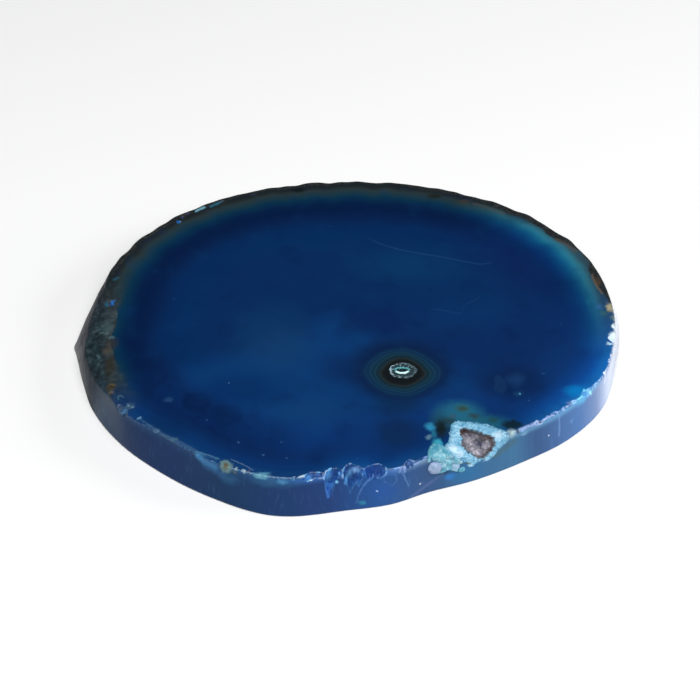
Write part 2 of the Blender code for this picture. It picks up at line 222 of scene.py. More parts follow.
# %% [markdown]
# ## The broken and worn edge
# The front edge lost small flakes when the slab was handled, and the left edge is worn round where the soft
# rind meets the face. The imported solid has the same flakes: a bearing, half a width, how far each cuts into the
# top, and how far down the side. A boolean cut for each would leave flat scars, so here each flake changes how
# wide and how deep the edge is, and the scar between is hollowed.

# %% Flakes, wear and rind
BEVEL = 0.6
BASE_BEVEL = 0.3
WORN_BEARING, WORN_SPREAD, WORN_WIDTH, WORN_DROP = 187.0, 17.0, 9.0, 3.2
WORN_RELIEF = 0.9
RIND_FROM, RIND_TO, RIND_FADE = 16.0, 205.0, 8.0
RIND_RELIEF = 1.3
EVEN_FROM, EVEN_FADE, EVEN_SHARE = 100.0, 25.0, 0.85
RIM_SCALLOPS = 0.4
CHIPS = [
    (211.5, 3.6, 1.5, 2.0), (261.5, 4.4, 1.4, 1.8), (266.3, 2.8, 2.0, 9.5), (271.4, 3.8, 2.6, 7.5),
    (277.0, 4.4, 2.4, 4.0), (285.6, 2.2, 1.8, 3.2), (317.5, 1.8, 0.9, 1.6), (320.4, 1.4, 1.2, 1.1),
    (323.0, 1.9, 0.8, 1.7), (325.6, 1.3, 1.3, 1.2), (328.2, 2.0, 1.0, 1.9), (331.0, 1.6, 1.3, 1.4),
    (335.6, 3.8, 1.8, 4.2), (353.8, 2.4, 2.8, 4.0), (357.8, 1.6, 1.8, 3.0),
]


def rind_share(bearing):
    """1 on the rind, 0 on the polished side."""
    middle = (RIND_FROM + RIND_TO) / 2
    half = (RIND_TO - RIND_FROM) / 2
    return eased((half - np.abs(apart(bearing, middle))) / RIND_FADE)


def rind_relief(bearing):
    """The height of the rind's lumps in millimetres, less at the left, where the rind is even."""
    even = EVEN_SHARE * eased((np.degrees(bearing) % 360.0 - EVEN_FROM) / EVEN_FADE)
    return RIND_RELIEF * rind_share(bearing) * (1.0 - even)


def rind_lumps(bearing, height):
    """Swells of the rind: crossed sine waves round the slab and up its side."""
    broad = np.sin(13 * bearing + 0.9) * np.cos(0.13 * height + 0.4)
    middling = np.sin(31 * bearing - 0.28 * height + 2.0)
    short = np.sin(53 * bearing + 0.55 * height) * np.sin(0.6 * height + 17 * bearing)
    return 0.5 * broad + 0.35 * middling + 0.35 * short


def rim_scallops(bearing):
    """Small uneven swells of the rind where the top face cuts it."""
    waves = np.sin(29 * bearing + 1.0) + np.sin(43 * bearing + 2.3) * np.cos(7 * bearing)
    waves = 0.5 * waves + 0.4 * np.sin(67 * bearing) * np.cos(11 * bearing + 1.0)
    return RIM_SCALLOPS * rind_share(bearing) * waves


def worn(bearing):
    return np.exp(-((apart(bearing, WORN_BEARING) / WORN_SPREAD) ** 4))


def chip(bearing, reach):
    """How far the flakes cut into the top and down the side: one less the offset's share to the power of 1.6."""
    deep = np.zeros_like(bearing)
    tall = np.zeros_like(bearing)
    for centre, half_width, depth, height in CHIPS:
        along = np.radians(apart(bearing, centre)) * reach
        share = np.clip(1.0 - np.abs(along / half_width) ** 1.6, 0.0, 1.0)
        deep = np.maximum(deep, depth * share)
        tall = np.maximum(tall, height * np.sqrt(share))
    return deep, tall


print(len(CHIPS), "flakes")

# %% [markdown]
# ## Round the crystal hollow
# The hollow sits astride the front edge, half on the top and half down the side. To draw on both at once, a
# point is given by how far it is along the edge and how far across it, plus for in over the top and minus for
# down the side. The edge between is a hyperbola, so that a surface bends over it without a crease.

# %% Places along and across the edge
HOLLOW_AT = (45.3, -65.5)
LENGTHWISE = np.array([0.934, 0.357, 0.0])
OUTWARD = np.array([0.357, -0.934, 0.0])
UPWARD = np.array([0.0, 0.0, 1.0])
SIDE_LEAN = 0.17  # how far the side stands out for each millimetre down
EDGE_ROUNDING = 2.5
INTO_STONE = -math.sqrt(0.5) * (OUTWARD + UPWARD)
MOUTH = [
    (-2.9, 8.4), (-0.6, 8.0), (1.8, 6.0), (4.0, 3.6), (6.8, 0.2), (7.0, -2.4), (5.2, -4.9), (1.6, -7.4),
    (-0.8, -5.8), (-4.2, -2.2), (-5.4, 0.8), (-4.2, 4.4),
]
QUARTZ_EDGE = [
    (-4.0, 12.6), (1.0, 11.2), (6.0, 8.2), (10.0, 3.8), (12.4, -0.4), (8.6, -4.9), (4.6, -8.2), (-0.6, -9.8),
    (-3.6, -10.6), (-6.4, -7.4), (-10.4, -3.4), (-12.0, 0.6), (-8.8, 5.6), (-6.6, 9.6),
]
CRUST_BACK = [(1.0, 1.2), (0.86, 3.4), (0.66, 6.4), (0.42, 9.4), (0.16, 11.4)]
HOLLOW_DEPTH = 9.0
CRUST_DEPTH = 11.8
FIT_GAP = 0.3


def across_edge(along, across, into=0.0, rounding=EDGE_ROUNDING):
    """Points on the rounded edge, or a distance straight into the stone from it.

    In over the top by half of (across + its distance from the corner), down the side by half of the rest.
    """
    along, across, into, rounding = np.broadcast_arrays(along, across, into, rounding)
    from_corner = np.hypot(across, rounding)
    inward = (across + from_corner) / 2
    down = (from_corner - across) / 2
    start = np.array([HOLLOW_AT[0], HOLLOW_AT[1], THICKNESS])
    return (
        start
        + along[..., None] * LENGTHWISE
        - inward[..., None] * OUTWARD
        - down[..., None] * (UPWARD - SIDE_LEAN * OUTWARD)
        + into[..., None] * INTO_STONE
    )


def inside_quartz(points):
    """How far each point lies inside the edge of the quartz, in millimetres, and its share of the way out.

    Along and across come from the offset to the corner, which undoes across_edge on the top and the side.
    """
    offset = points - np.array([HOLLOW_AT[0], HOLLOW_AT[1], THICKNESS])
    down = -offset[..., 2]
    inward = -(offset @ OUTWARD) + SIDE_LEAN * down
    along = offset @ LENGTHWISE
    across = inward - down
    distance = np.hypot(along, across)
    edge = round_curve(QUARTZ_EDGE, np.arctan2(across, along))
    return edge - distance, distance / edge


print("mouth of the hollow about", round(float(np.ptp([a for a, _ in MOUTH])), 1), "mm along the edge")

# %% [markdown]
# ## The slab
# The whole slab is one grid. Its rings start at the bottom of the little pocket in the eye, come up to the top
# face, run out to the rim, over the edge, down the side and back under to the middle of the base. Rings lie
# close together near the rim, where the banding and the flakes are, and far apart in the flat middle.

# %% Rings of the slab
EYE_AT = np.array([20.0, -28.4])
EYE_HALF = np.array([5.1, 4.2])
EYE_BACK = [(1.0, 0.9), (0.86, 2.0), (0.5, 2.9)]
EYE_DEPTH = 3.2
COLUMNS = 1360
RIM_ZONE = 18.0
RIM_ZONE_ROWS = 15
MIDDLE_ROWS = 10
EDGE_ROWS = 9
SIDE_ROWS = 30

bearing = np.linspace(0.0, math.tau, COLUMNS, endpoint=False)
direction = np.stack([np.cos(bearing), np.sin(bearing)], axis=-1)
top_reach = round_curve(TOP_RIM, bearing) + rim_scallops(bearing)
base_reach = round_curve(BASE_RIM, bearing)
rind = rind_share(bearing)
wear = worn(bearing)
arris = np.concatenate([direction * top_reach[:, None], np.full((COLUMNS, 1), THICKNESS)], axis=-1)
deep, tall = chip(bearing, top_reach)
deep = deep * (1.0 + 0.45 * lumpy(arris, 3.4, seed=10) + 0.35 * lumpy(arris, 1.7, seed=11) + 0.2 * lumpy(arris, 0.7, seed=12))
tall = tall * (0.9 + 0.45 * lumpy(arris, 1.8, seed=13) + 0.4 * lumpy(arris, 0.8, seed=14))
flake_size = by_bearing(bearing, (310, 1.0), (315, 0.5), (344, 0.6), (350, 0.65), (0, 0.65), (6, 1.0))
deep = deep * flake_size
tall = tall * flake_size
nick_size = by_bearing(
    bearing, (205, 0.0), (212, 0.5), (232, 0.3), (250, 0.6), (262, 0.6), (276, 0.2), (290, 0.3), (312, 0.9),
    (335, 0.9), (350, 0.7), (358, 0.5), (10, 0.0))
nicks = nick_size * np.clip(lumpy(arris, 1.5, seed=21) + 0.35 * lumpy(arris, 0.7, seed=22), 0.0, 1.0)
inset = np.maximum(BEVEL + (WORN_WIDTH - BEVEL) * wear, BEVEL + np.maximum(deep, 0.8 * nicks))
drop = np.maximum(BEVEL + (WORN_DROP - BEVEL) * wear, np.maximum(tall, BEVEL + nicks))
scar = np.clip((deep + 0.8 * nicks) / 1.2, 0.0, 1.0)
flat_rim = top_reach - inset
upper = THICKNESS - drop


def side_reach(height):
    """The wall: a straight blend from base to top, with the rind's swells where there is rind."""
    straight = base_reach + (top_reach - base_reach) * height / THICKNESS
    swell = np.sin(math.pi * np.clip(height / THICKNESS, 0.0, 1.0)) ** 0.5
    return straight + rind_relief(bearing) * swell * rind_lumps(bearing, height)


def level(reach, height):
    """A ring at that distance from the middle at each bearing, and that height."""
    flat = direction * np.broadcast_to(reach, bearing.shape)[:, None]
    return np.concatenate([flat, np.broadcast_to(height, bearing.shape)[:, None]], axis=-1)


def eye_ring(share, height, wider=0.0):
    """A level oval round the eye's middle."""
    flat = EYE_AT + direction * (share * EYE_HALF + wider)
    return np.concatenate([flat, np.full((COLUMNS, 1), height)], axis=-1)


rings = [eye_ring(share, THICKNESS - depth - FIT_GAP, FIT_GAP) for share, depth in reversed(EYE_BACK)]
eye_rim = eye_ring(1.0, THICKNESS, -0.05)
rings.append(eye_rim)
rings.append(eye_ring(1.0, THICKNESS, 0.12))  # close to the eye's rim, so that the face stays flat up to it
rim = level(flat_rim, THICKNESS)
span = np.linalg.norm(rim - eye_rim, axis=-1)
for share in np.linspace(0.0, 1.0, MIDDLE_ROWS + 1)[1:]:
    rings.append(eye_rim + (rim - eye_rim) * (share * (1.0 - RIM_ZONE / span))[:, None])
for back in np.append(np.linspace(RIM_ZONE, 0.0, RIM_ZONE_ROWS, endpoint=False)[1:], [0.15, 0.0]):
    rings.append(eye_rim + (rim - eye_rim) * (1.0 - back / span)[:, None])
top_rows = len(rings)

edge_start = rim
edge_end = level(side_reach(upper), upper)
chord = edge_end - edge_start
size = np.linalg.norm(chord, axis=-1)
outwards = np.concatenate([direction * drop[:, None], inset[:, None]], axis=-1) / np.hypot(drop, inset)[:, None]
splintered = by_bearing(bearing, (298, 0.3), (312, 1.0), (350, 1.0), (20, 0.3))
for share in np.linspace(0.0, 1.0, EDGE_ROWS + 2)[1:-1]:
    bulge = 4.0 * share * (1.0 - share)
    ring = edge_start + chord * share
    hollowed = 0.22 * (1.0 - scar) - 0.16 * scar
    rough = scar * splintered * (0.20 * lumpy(ring, 1.3, seed=31) + 0.08 * lumpy(ring, 0.6, seed=32))
    pits = WORN_RELIEF * np.minimum(rind_lumps(1.7 * bearing, 9.0 * share), 0.0)
    pits = pits + 0.5 * np.minimum(lumpy(ring, 2.4, seed=33), 0.1) + 0.3 * np.minimum(lumpy(ring, 1.1, seed=34), 0.1)
    lift = bulge * (np.minimum(size, 3.0) * hollowed + rough) + np.sqrt(bulge) * wear * pits
    rings.append(ring + outwards * lift[:, None])
for share in np.linspace(1.0, 0.0, SIDE_ROWS):
    height = BASE_BEVEL + (upper - BASE_BEVEL) * share
    ring = level(side_reach(height), height)
    fade = math.sin(math.pi * share) ** 0.4 if 0.0 < share < 1.0 else 0.0
    grain = (0.15 * rind + 0.85 * rind_relief(bearing) / RIND_RELIEF) * (
        0.45 * lumpy(ring, 2.6, seed=41) + 0.28 * lumpy(ring, 1.2, seed=42))
    sawn = (1.0 - rind) * (0.10 * lumpy(ring, 9.0, seed=43))
    ring[:, :2] += direction * (fade * (grain + sawn))[:, None]
    rings.append(ring)
base_ring = level(side_reach(np.zeros_like(bearing)) - BASE_BEVEL, 0.0)
rings.append(base_ring)
rings.append(base_ring * [0.6, 0.6, 1.0])
rings = np.array(rings)
print("slab rings:", rings.shape[0], "of", rings.shape[1], "points; the top face has", top_rows)

# %% [markdown]
# Under the quartz the stone is hollow. A boolean would do it, but then the grid and its values would be lost,
# so the points that lie inside the quartz are pushed into the stone instead. They stay just behind the back of
# the crust, which hides where they start to sink.

# %% Sink the pocket behind the quartz
SINK_FROM = 1.5  # millimetres inside the quartz's edge
near_hollow = np.linalg.norm(rings - across_edge(0.0, 0.0), axis=-1) < 30.0
inside, share_out = inside_quartz(rings)
back_shares, back_depths = zip(*sorted(CRUST_BACK))
pocket = np.interp(share_out, back_shares, back_depths) + FIT_GAP
sink = np.where(near_hollow & (rings[..., 2] > 1.0), pocket * eased((inside - SINK_FROM) / 0.6), 0.0)
rings = rings + sink[..., None] * INTO_STONE
print("pocket is", round(float(sink.max()), 1), "mm deep")

# %% [markdown]
# The colours follow the rim, the rind and the flakes, which a material can't know. So each point of the slab carries a
# few
# numbers for its material: how far it is in from the rim, which way round it is, and where along the rim a band of
# colour, a broken edge or a painted highlight line on the arris is strong. They are worked out from each point's own
# place.

# %% Numbers that the stone's material reads
TURN_FROM = 100.0  # the bearing where side_way starts, at the back, where rind hides that it jumps
ON_FACE = 0.01


def side_way(degrees):
    """The share of a full turn from the back, which a ramp of colours round the side reads."""
    return ((np.asarray(degrees) - TURN_FROM) % 360.0) / 360.0


slab_surface = ringed(rings, (EYE_AT[0], EYE_AT[1], THICKNESS - EYE_DEPTH - FIT_GAP), (0.0, 0.0, 0.0))
slab_points = slab_surface[0]
x, y, z = slab_points.T
way = np.arctan2(y, x)
rim_here = round_curve(TOP_RIM, way) + rim_scallops(way)
outside = np.minimum(rim_here - np.hypot(x, y), 0.0)
from_rim = np.where(z > THICKNESS - ON_FACE, rim_here - np.hypot(x, y), outside - (THICKNESS - z))
wobble = 0.5 * lumpy(slab_points, 5.0, seed=51) + 0.3 * lumpy(slab_points, 2.0, seed=52)
skin_width = by_bearing(
    way, (3, 0.0), (7, 1.2), (12, 3.0), (17, 3.0), (20, 0.2), (23, 0.2), (27, 3.4), (34, 3.2), (48, 2.8), (58, 2.4),
    (75, 1.6), (100, 1.8), (130, 2.2), (152, 2.0), (170, 1.6), (200, 1.2), (205, 0.0), (212, -1.6), (300, -2.0))
skin_width = skin_width + 0.9 * lumpy(slab_points * [1, 1, 0], 4.5, seed=53) * rind_share(way)
edge_row = np.zeros(rings.shape[:2])
edge_row[top_rows - 1:top_rows + EDGE_ROWS + 1] = np.sin(np.linspace(0.1, math.pi - 0.1, EDGE_ROWS + 2))[:, None]
at_edge = np.append(edge_row, [0.0, 0.0])
slab_values = {
    "from_rim": from_rim + wobble * eased(from_rim / 4.0),
    "skin": skin_width - from_rim,
    "rind": rind_share(way),
    "worn": worn(way),
    "side_way": side_way(np.degrees(way)),
    "height": z / THICKNESS,
    "cyan_band": by_bearing(way, (346, 0.0), (358, 0.35), (12, 0.65), (22, 1.0), (36, 0.9), (44, 0.5), (50, 0.2), (58, 0.0)),
    "front": by_bearing(way, (200, 0.0), (206, 0.5), (214, 1.0), (330, 1.0), (350, 0.9), (5, 0.6), (15, 0.0)),
    "cobalt": by_bearing(way, (262, 0.0), (274, 0.3), (288, 0.1), (318, 0.2), (328, 0.7), (336, 1.0), (350, 0.85), (2, 0.3), (12, 0.0)),
    "dark_ring": by_bearing(way, (194, 0.0), (206, 0.8), (216, 1.0), (236, 0.8), (246, 0.6), (258, 0.0)),
    # Where the edge shows small pale chips and a painted highlight, and, below, where a painted highlight line runs.
    "chipped_edge_and_highlight": at_edge * by_bearing(
        way, (204, 0.0), (212, 0.4), (232, 0.5), (236, 0.3), (254, 0.5), (262, 0.05), (276, 0.05), (300, 0.2), (312, 0.7), (340, 0.6),
        (352, 0.8), (358, 0.8), (4, 0.0)),
    "arris_highlight": at_edge * by_bearing(
        way, (205, 0.0), (212, 0.5), (250, 0.4), (260, 0.0), (276, 0.4), (280, 0.8), (292, 0.8), (298, 0.0), (334, 0.0),
        (340, 0.8), (352, 0.6), (2, 0.0)),
    "scar": np.append(np.sqrt(edge_row) * scar, [0.0, 0.0]),
}
in_scar = slab_values["scar"][slab_surface[1]].mean(axis=1) > 0.75
smooth_faces = np.concatenate([~in_scar, np.ones(len(slab_surface[2]), dtype=bool)])
slab = make_piece("agate_slab_dressed", slab_surface, slab_values, smooth_faces)

# %% [markdown]
# ## Crystals
# Quartz lines the hollow with small six-sided points, and a sugary ring of finer ones shows where the saw cut
# through them. A crystal could be a little cone object scattered with Geometry Nodes. Here each one is a
# formula: from its tip the height falls off evenly with the six-sided distance, and where two crystals meet the
# higher one wins. That gives flat faces and sharp grooves, as crystals that grew into each other have.


# %% Heights of crystals that grow into each other
def six_sided(u, v):
    """Distance from the middle to the side of a hexagon: the largest of three slanted widths."""
    half_v = v * math.sqrt(3.0) / 2
    return np.maximum(np.abs(u), np.maximum(np.abs(u / 2 + half_v), np.abs(u / 2 - half_v)))


def crystal_heights(points, tips, normals, widths, heights, seed):
    """The highest crystal over each point: its height times one less the six-sided distance over its half width."""
    draw = np.random.default_rng(seed)
    best = np.zeros(points.shape[:-1])
    for tip, normal, width, height in zip(tips, normals, widths, heights):
        axis = normal + draw.uniform(-0.35, 0.35, 3)
        axis /= np.linalg.norm(axis)
        sideways = np.cross(axis, draw.normal(size=3))
        sideways /= np.linalg.norm(sideways)
        offset = points - tip
        grown = height * (1.0 - six_sided(offset @ sideways, offset @ np.cross(axis, sideways)) / width)
        best = np.maximum(best, grown)
    return best


def normals_of(rings):
    """Unit normals of a grid of rings, from the differences to the points beside."""
    across = np.roll(rings, -1, axis=1) - np.roll(rings, 1, axis=1)
    normal = np.cross(np.gradient(rings, axis=0), across)
    return normal / np.maximum(np.linalg.norm(normal, axis=-1, keepdims=True), 1e-9)


print("six-sided distance of (1, 0):", round(float(six_sided(np.array(1.0), np.array(0.0))), 2))

# %% [markdown]
# ## The quartz crust
# The crust is a bowl of grey crystals with a lip of fine pale blue quartz round it that bends over the edge of
# the slab. Its rings run from the bottom of the bowl out over the lip and round the back, which fills the
# pocket as in the solid.

# %% The bowl and the lip before crystals
CRUST_COLUMNS = 520
BOWL_ROWS = 58
LIP_ROWS = 44

turn = np.linspace(0.0, math.tau, CRUST_COLUMNS, endpoint=False)
mouth = round_curve(MOUTH, turn) + 0.3 * np.sin(11 * turn + 0.6) * np.cos(4 * turn) + 0.16 * np.sin(23 * turn)
quartz_edge = round_curve(QUARTZ_EDGE, turn) + 0.25 * np.sin(17 * turn) * np.cos(5 * turn + 1.0)


def hollow_ring(reach, into, rounding=EDGE_ROUNDING):
    return across_edge(reach * np.cos(turn), reach * np.sin(turn), into, rounding)


bowl_shares = np.sin(np.linspace(0.05, 1.0, BOWL_ROWS) * math.pi / 2)
lip_shares = np.linspace(0.0, 1.0, LIP_ROWS + 1)[1:]
bowl = [hollow_ring(share * mouth, HOLLOW_DEPTH * (1.0 - share**2) ** 0.7) for share in bowl_shares]
lip = []
for share in lip_shares:
    rounding = EDGE_ROUNDING + (0.7 - EDGE_ROUNDING) * eased(share * 1.4 - 0.4)
    dip = 0.15 * share**6 - 0.25 * math.sin(math.pi * share)
    lip.append(hollow_ring(mouth + share * (quartz_edge - mouth), dip, rounding))
crust_front = np.array(bowl + lip)
crust_normals = normals_of(crust_front)
if (crust_normals[0].mean(axis=0) @ INTO_STONE) > 0.0:
    crust_normals = -crust_normals
print("front of the crust:", crust_front.shape[:2])

# %% Grow the crystals and close the crust
# Each kind: count, half widths and heights in millimetres, and the seed of their shapes.
POINTS = (120, (1.1, 2.4), (0.35, 1.0), 8)
SUGAR = (1700, (0.26, 0.5), (0.12, 0.34), 9)
draw = np.random.default_rng(7)


def grow(rows, count, widths, heights, seed):
    """Heights over the whole front of crystals on some of its rows, each place as likely as its area is large."""
    there = crust_front[rows]
    along_row = np.linalg.norm(np.roll(there, -1, axis=1) - there, axis=-1)
    along_column = np.linalg.norm(np.gradient(there, axis=0), axis=-1)
    area = (along_row * along_column).ravel()
    picked = draw.choice(area.size, size=count, replace=False, p=area / area.sum())
    tips = there.reshape(-1, 3)[picked]
    normals = crust_normals[rows].reshape(-1, 3)[picked]
    return crystal_heights(
        crust_front, tips, normals, draw.uniform(*widths, count), draw.uniform(*heights, count), seed
    )


points_up = grow(slice(0, BOWL_ROWS), *POINTS)
sugar_up = grow(slice(BOWL_ROWS, None), *SUGAR)
sugar_up = sugar_up + 0.30 * np.maximum(lumpy(crust_front, 2.4, seed=15), -0.3)
row_share = np.concatenate([bowl_shares, 1.0 + lip_shares])[:, None]
in_bowl = eased((1.03 - row_share) / 0.06)
height = points_up * in_bowl + sugar_up * (1.0 - in_bowl) * eased((2.0 - row_share) / 0.08)
height = height * eased((THICKNESS + 1.2 - crust_front[..., 2] - height) / 0.9)
crust_front = crust_front + height[..., None] * crust_normals
crust_rings = list(crust_front) + [hollow_ring(share * quartz_edge, into) for share, into in CRUST_BACK]
crust_surface = ringed(crust_rings, across_edge(0.0, 0.0, HOLLOW_DEPTH), across_edge(0.0, 0.0, CRUST_DEPTH))

back = np.zeros((len(CRUST_BACK), CRUST_COLUMNS))
reach = np.concatenate([bowl_shares[:, None] * mouth, mouth + lip_shares[:, None] * (quartz_edge - mouth), back])
crust_values = {
    "share_out": np.append(np.concatenate([row_share + 0 * turn, back + 2.0]), [0.0, 2.0]),
    "grown": np.append(np.concatenate([height, back]), [0.0, 0.0]),
    "along": np.append(reach * np.cos(turn), [0.0, 0.0]),
    "across": np.append(reach * np.sin(turn), [0.0, 0.0]),
}
crust = make_piece("quartz_crust_dressed", crust_surface, crust_values, False)

# %% [markdown]
# ## The eye
# The eye is a small oval of quartz that closed almost completely. It was sawn and polished level with the face,
# and only a slot in its middle stayed open, with bright crystals on its walls.

# %% Build the eye
EYE_COLUMNS = 260
SLOT_ROWS, FACE_ROWS = 22, 30
SLOT_AT, SLOT_HALF, SLOT_DEPTH = np.array([-0.4, 0.3]), np.array([2.4, 1.2]), 1.9
eye_turn = np.linspace(0.0, math.tau, EYE_COLUMNS, endpoint=False)
eye_way = np.stack([np.cos(eye_turn), np.sin(eye_turn)], axis=-1)
outer = EYE_AT + eye_way * (EYE_HALF + (0.16 * np.sin(5 * eye_turn + 1.0) + 0.12 * np.sin(13 * eye_turn))[:, None])
slot_swell = 1.0 + 0.1 * np.sin(3 * eye_turn) + 0.06 * np.sin(9 * eye_turn)
slot = EYE_AT + SLOT_AT + eye_way * SLOT_HALF * slot_swell[:, None]


def at_height(flat, height):
    return np.concatenate([flat, np.full((EYE_COLUMNS, 1), height)], axis=-1)


eye_rings = []
for share in np.sin(np.linspace(0.06, 1.0, SLOT_ROWS) * math.pi / 2):
    middle = EYE_AT + SLOT_AT
    eye_rings.append(at_height(middle + (slot - middle) * share, THICKNESS - SLOT_DEPTH * (1.0 - share**2) ** 0.8))
for share in np.linspace(0.0, 1.0, FACE_ROWS + 1)[1:]:
    eye_rings.append(at_height(slot + (outer - slot) * share, THICKNESS + 0.02))
eye_front = np.array(eye_rings)
eye_normals = normals_of(eye_front)
eye_normals *= np.sign(eye_normals[..., 2:3] + 1e-6)
draw = np.random.default_rng(12)
EYE_POINTS = 110
crystal_rows = SLOT_ROWS + 6
picked = draw.choice(crystal_rows * EYE_COLUMNS, size=EYE_POINTS, replace=False)
eye_up = crystal_heights(
    eye_front, eye_front.reshape(-1, 3)[picked], eye_normals.reshape(-1, 3)[picked],
    draw.uniform(0.25, 0.6, EYE_POINTS), draw.uniform(0.12, 0.32, EYE_POINTS), seed=13,
)
eye_share = np.concatenate([np.linspace(0.0, 1.0, SLOT_ROWS), 1.0 + np.linspace(0.0, 1.0, FACE_ROWS + 1)[1:]])[:, None]
eye_front = eye_front + (eye_up * eased((1.35 - eye_share) / 0.3))[..., None] * eye_normals
eye_back = [at_height(EYE_AT + (outer - EYE_AT) * share, THICKNESS - depth) for share, depth in EYE_BACK]
eye_surface = ringed(
    list(eye_front) + eye_back,
    (*(EYE_AT + SLOT_AT), THICKNESS - SLOT_DEPTH),
    (*EYE_AT, THICKNESS - EYE_DEPTH),
)
every_row = np.concatenate([eye_share, np.full((len(EYE_BACK), 1), 2.0)]) + 0 * eye_turn
eye_values = {
    "share_out": np.append(every_row, [0.0, 2.0]),
    "frontward": np.append(0 * every_row - np.sin(eye_turn), [0.0, 0.0]),
}
eye = make_piece("eye_crust_dressed", eye_surface, eye_values, False)

# %% [markdown]
# ## Beads of chalcedony
# Left of the hollow the stone swells out in a patch of round beads, as chalcedony does where it grew into open
# space. Separate spheres would look like eggs, so the patch is one surface. Over each point the height is that
# of the tallest bead there, where a bead is a ball sunk a little into the stone: the far root of the equation
# for a line and a sphere. The six largest beads are the ones that the solid has.

# %% Build the patch of beads
PATCH_AT = (-12.8, -2.0)
PATCH_EDGE = [
    (-4.1, 5.6), (-1.6, 7.4), (0.8, 5.2), (2.8, 1.4), (5.4, -2.6), (8.2, -6.4), (7.4, -8.6), (2.6, -6.8),
    (-1.6, -6.6), (-5.6, -5.4), (-6.4, 0.6),
]
# Along, across, radius, and tone: 0 cyan, 0.5 pale sea green, 1 lilac grey.
BEADS = [
    (-15.9, -0.4, 2.0, 0.45), (-13.9, -1.2, 2.5, 0.5), (-16.3, -4.6, 3.0, 0.9), (-11.5, -4.0, 2.3, 0.4),
    (-8.9, -6.6, 2.1, 0.7), (-6.4, -9.0, 1.7, 0.3),
]
SMALL_BEADS, SMALL_RADIUS = 150, (0.8, 1.6)
BEAD_SUNK = 0.45
SMALL_SUNK = 0.1
PATCH_ROUNDING = 0.8
PATCH_COLUMNS, PATCH_ROWS = 420, 110

patch_turn = np.linspace(0.0, math.tau, PATCH_COLUMNS, endpoint=False)
patch_shares = np.linspace(0.01, 1.0, PATCH_ROWS)[:, None]


def patch_place(turn, share):
    """Along and across the edge, at that share of the way from the patch's middle to its outline."""
    reach = share * round_curve(PATCH_EDGE, turn)
    return PATCH_AT[0] + reach * np.cos(turn), PATCH_AT[1] + reach * np.sin(turn)


draw = np.random.default_rng(21)
small_turn = draw.uniform(0.0, math.tau, SMALL_BEADS)
small_along, small_across = patch_place(small_turn, 0.97 * np.sqrt(draw.uniform(0.0, 1.0, SMALL_BEADS)))
small_radius = draw.uniform(*SMALL_RADIUS, SMALL_BEADS)
small_tone = 0.45 - 0.05 * np.clip(small_across, 0.0, 6.0) + draw.uniform(-0.14, 0.14, SMALL_BEADS)
small_beads = np.stack([small_along, small_across, small_radius, small_tone], axis=-1)
for along, across, radius, _ in BEADS:  # the large beads stay clear of small ones
    small_beads = small_beads[np.hypot(small_beads[:, 0] - along, small_beads[:, 1] - across) > 0.9 * radius]
sunk = [BEAD_SUNK] * len(BEADS) + [SMALL_SUNK] * len(small_beads)
every_bead = BEADS + small_beads.tolist()
patch = across_edge(*patch_place(patch_turn, patch_shares), rounding=PATCH_ROUNDING)
bead_height = np.zeros(patch.shape[:2])
bead_tone = np.full(patch.shape[:2], 0.45)
for (along, across, radius, tone), sunk_by in zip(every_bead, sunk):
    offset = patch - across_edge(along, across, sunk_by * radius, PATCH_ROUNDING)
    outwards_by = -(offset @ INTO_STONE)
    inside_root = outwards_by**2 - np.sum(offset**2, axis=-1) + radius**2
    stands = np.sqrt(np.maximum(inside_root, 0.0)) - outwards_by
    wins = (inside_root > 0.0) & (stands > bead_height)
    bead_height = np.where(wins, stands, bead_height)
    bead_tone = np.where(wins, tone, bead_tone)
bead_height = np.maximum(bead_height + 0.2 * lumpy(patch, 1.2, seed=17) + 0.05 * lumpy(patch, 0.6, seed=18), 0.0)
bead_height = bead_height * eased((1.0 - patch_shares) / 0.06)
patch = patch - bead_height[..., None] * INTO_STONE
patch = patch + [0.0, 0.0, -1.0] * np.maximum(patch[..., 2:3] - THICKNESS - 0.35, 0.0)
patch_back = [across_edge(*patch_place(patch_turn, share), into) for share, into in ((1.0, 0.6), (0.5, 1.2))]
patch_surface = ringed(
    list(patch) + patch_back, patch[0].mean(axis=0), across_edge(np.array(PATCH_AT[0]), np.array(PATCH_AT[1]), 1.2)
)
behind = np.full((2, PATCH_COLUMNS), 0.45)
patch_values = {
    "tone": np.append(np.concatenate([bead_tone, behind]), [0.45, 0.45]),
    "stands": np.append(np.concatenate([bead_height, 0 * behind]), [0.0, 0.0]),
}
beads = make_piece("chalcedony_beads", patch_surface, patch_values, True)

# %% [markdown]
# ## Finishes
# Each material is a Principled shader fed by a small tree of nodes. One function adds a node with its settings
# and links, and colours are written as the sRGB hex values that one sees on screen. Patterns read the
# object's own coordinates in millimetres, so their sizes below are real ones.


# %% Colours and nodes
def linear(colour):
    """An sRGB hex colour as the linear values that a shader works with."""
    parts = [int(colour[i:i + 2], 16) / 255 for i in (0, 2, 4)]
    return [c / 12.92 if c <= 0.04045 else ((c + 0.055) / 1.055) ** 2.4 for c in parts] + [1.0]


def add_node(tree, kind, inputs=(), stops=(), curve=(), **settings):
    """Adds a node: its settings, its ramp's stops, its curve's points, and its inputs by name or number.

    An input is a plain value, an sRGB hex colour, or another node's output to link.
    """
    made = tree.nodes.new("ShaderNode" + kind)
    for name, value in settings.items():
        setattr(made, name, value)
    if stops:
        band = made.color_ramp.elements
        while len(band) < len(stops):
            band.new(1.0)
        for element, (place, colour) in zip(band, stops):
            element.position = place
            element.color = linear(colour)
    if curve:
        points = made.mapping.curves[0].points
        while len(points) < len(curve):
            points.new(0.5, 0.5)
        for point, place in zip(points, curve):
            point.location = place
        made.mapping.update()
    for name, value in dict(inputs).items():
        if isinstance(value, bpy.types.NodeSocket):
            tree.links.new(value, made.inputs[name])
        elif isinstance(value, str):
            made.inputs[name].default_value = linear(value)
        else:
            made.inputs[name].default_value = value
    return made.outputs


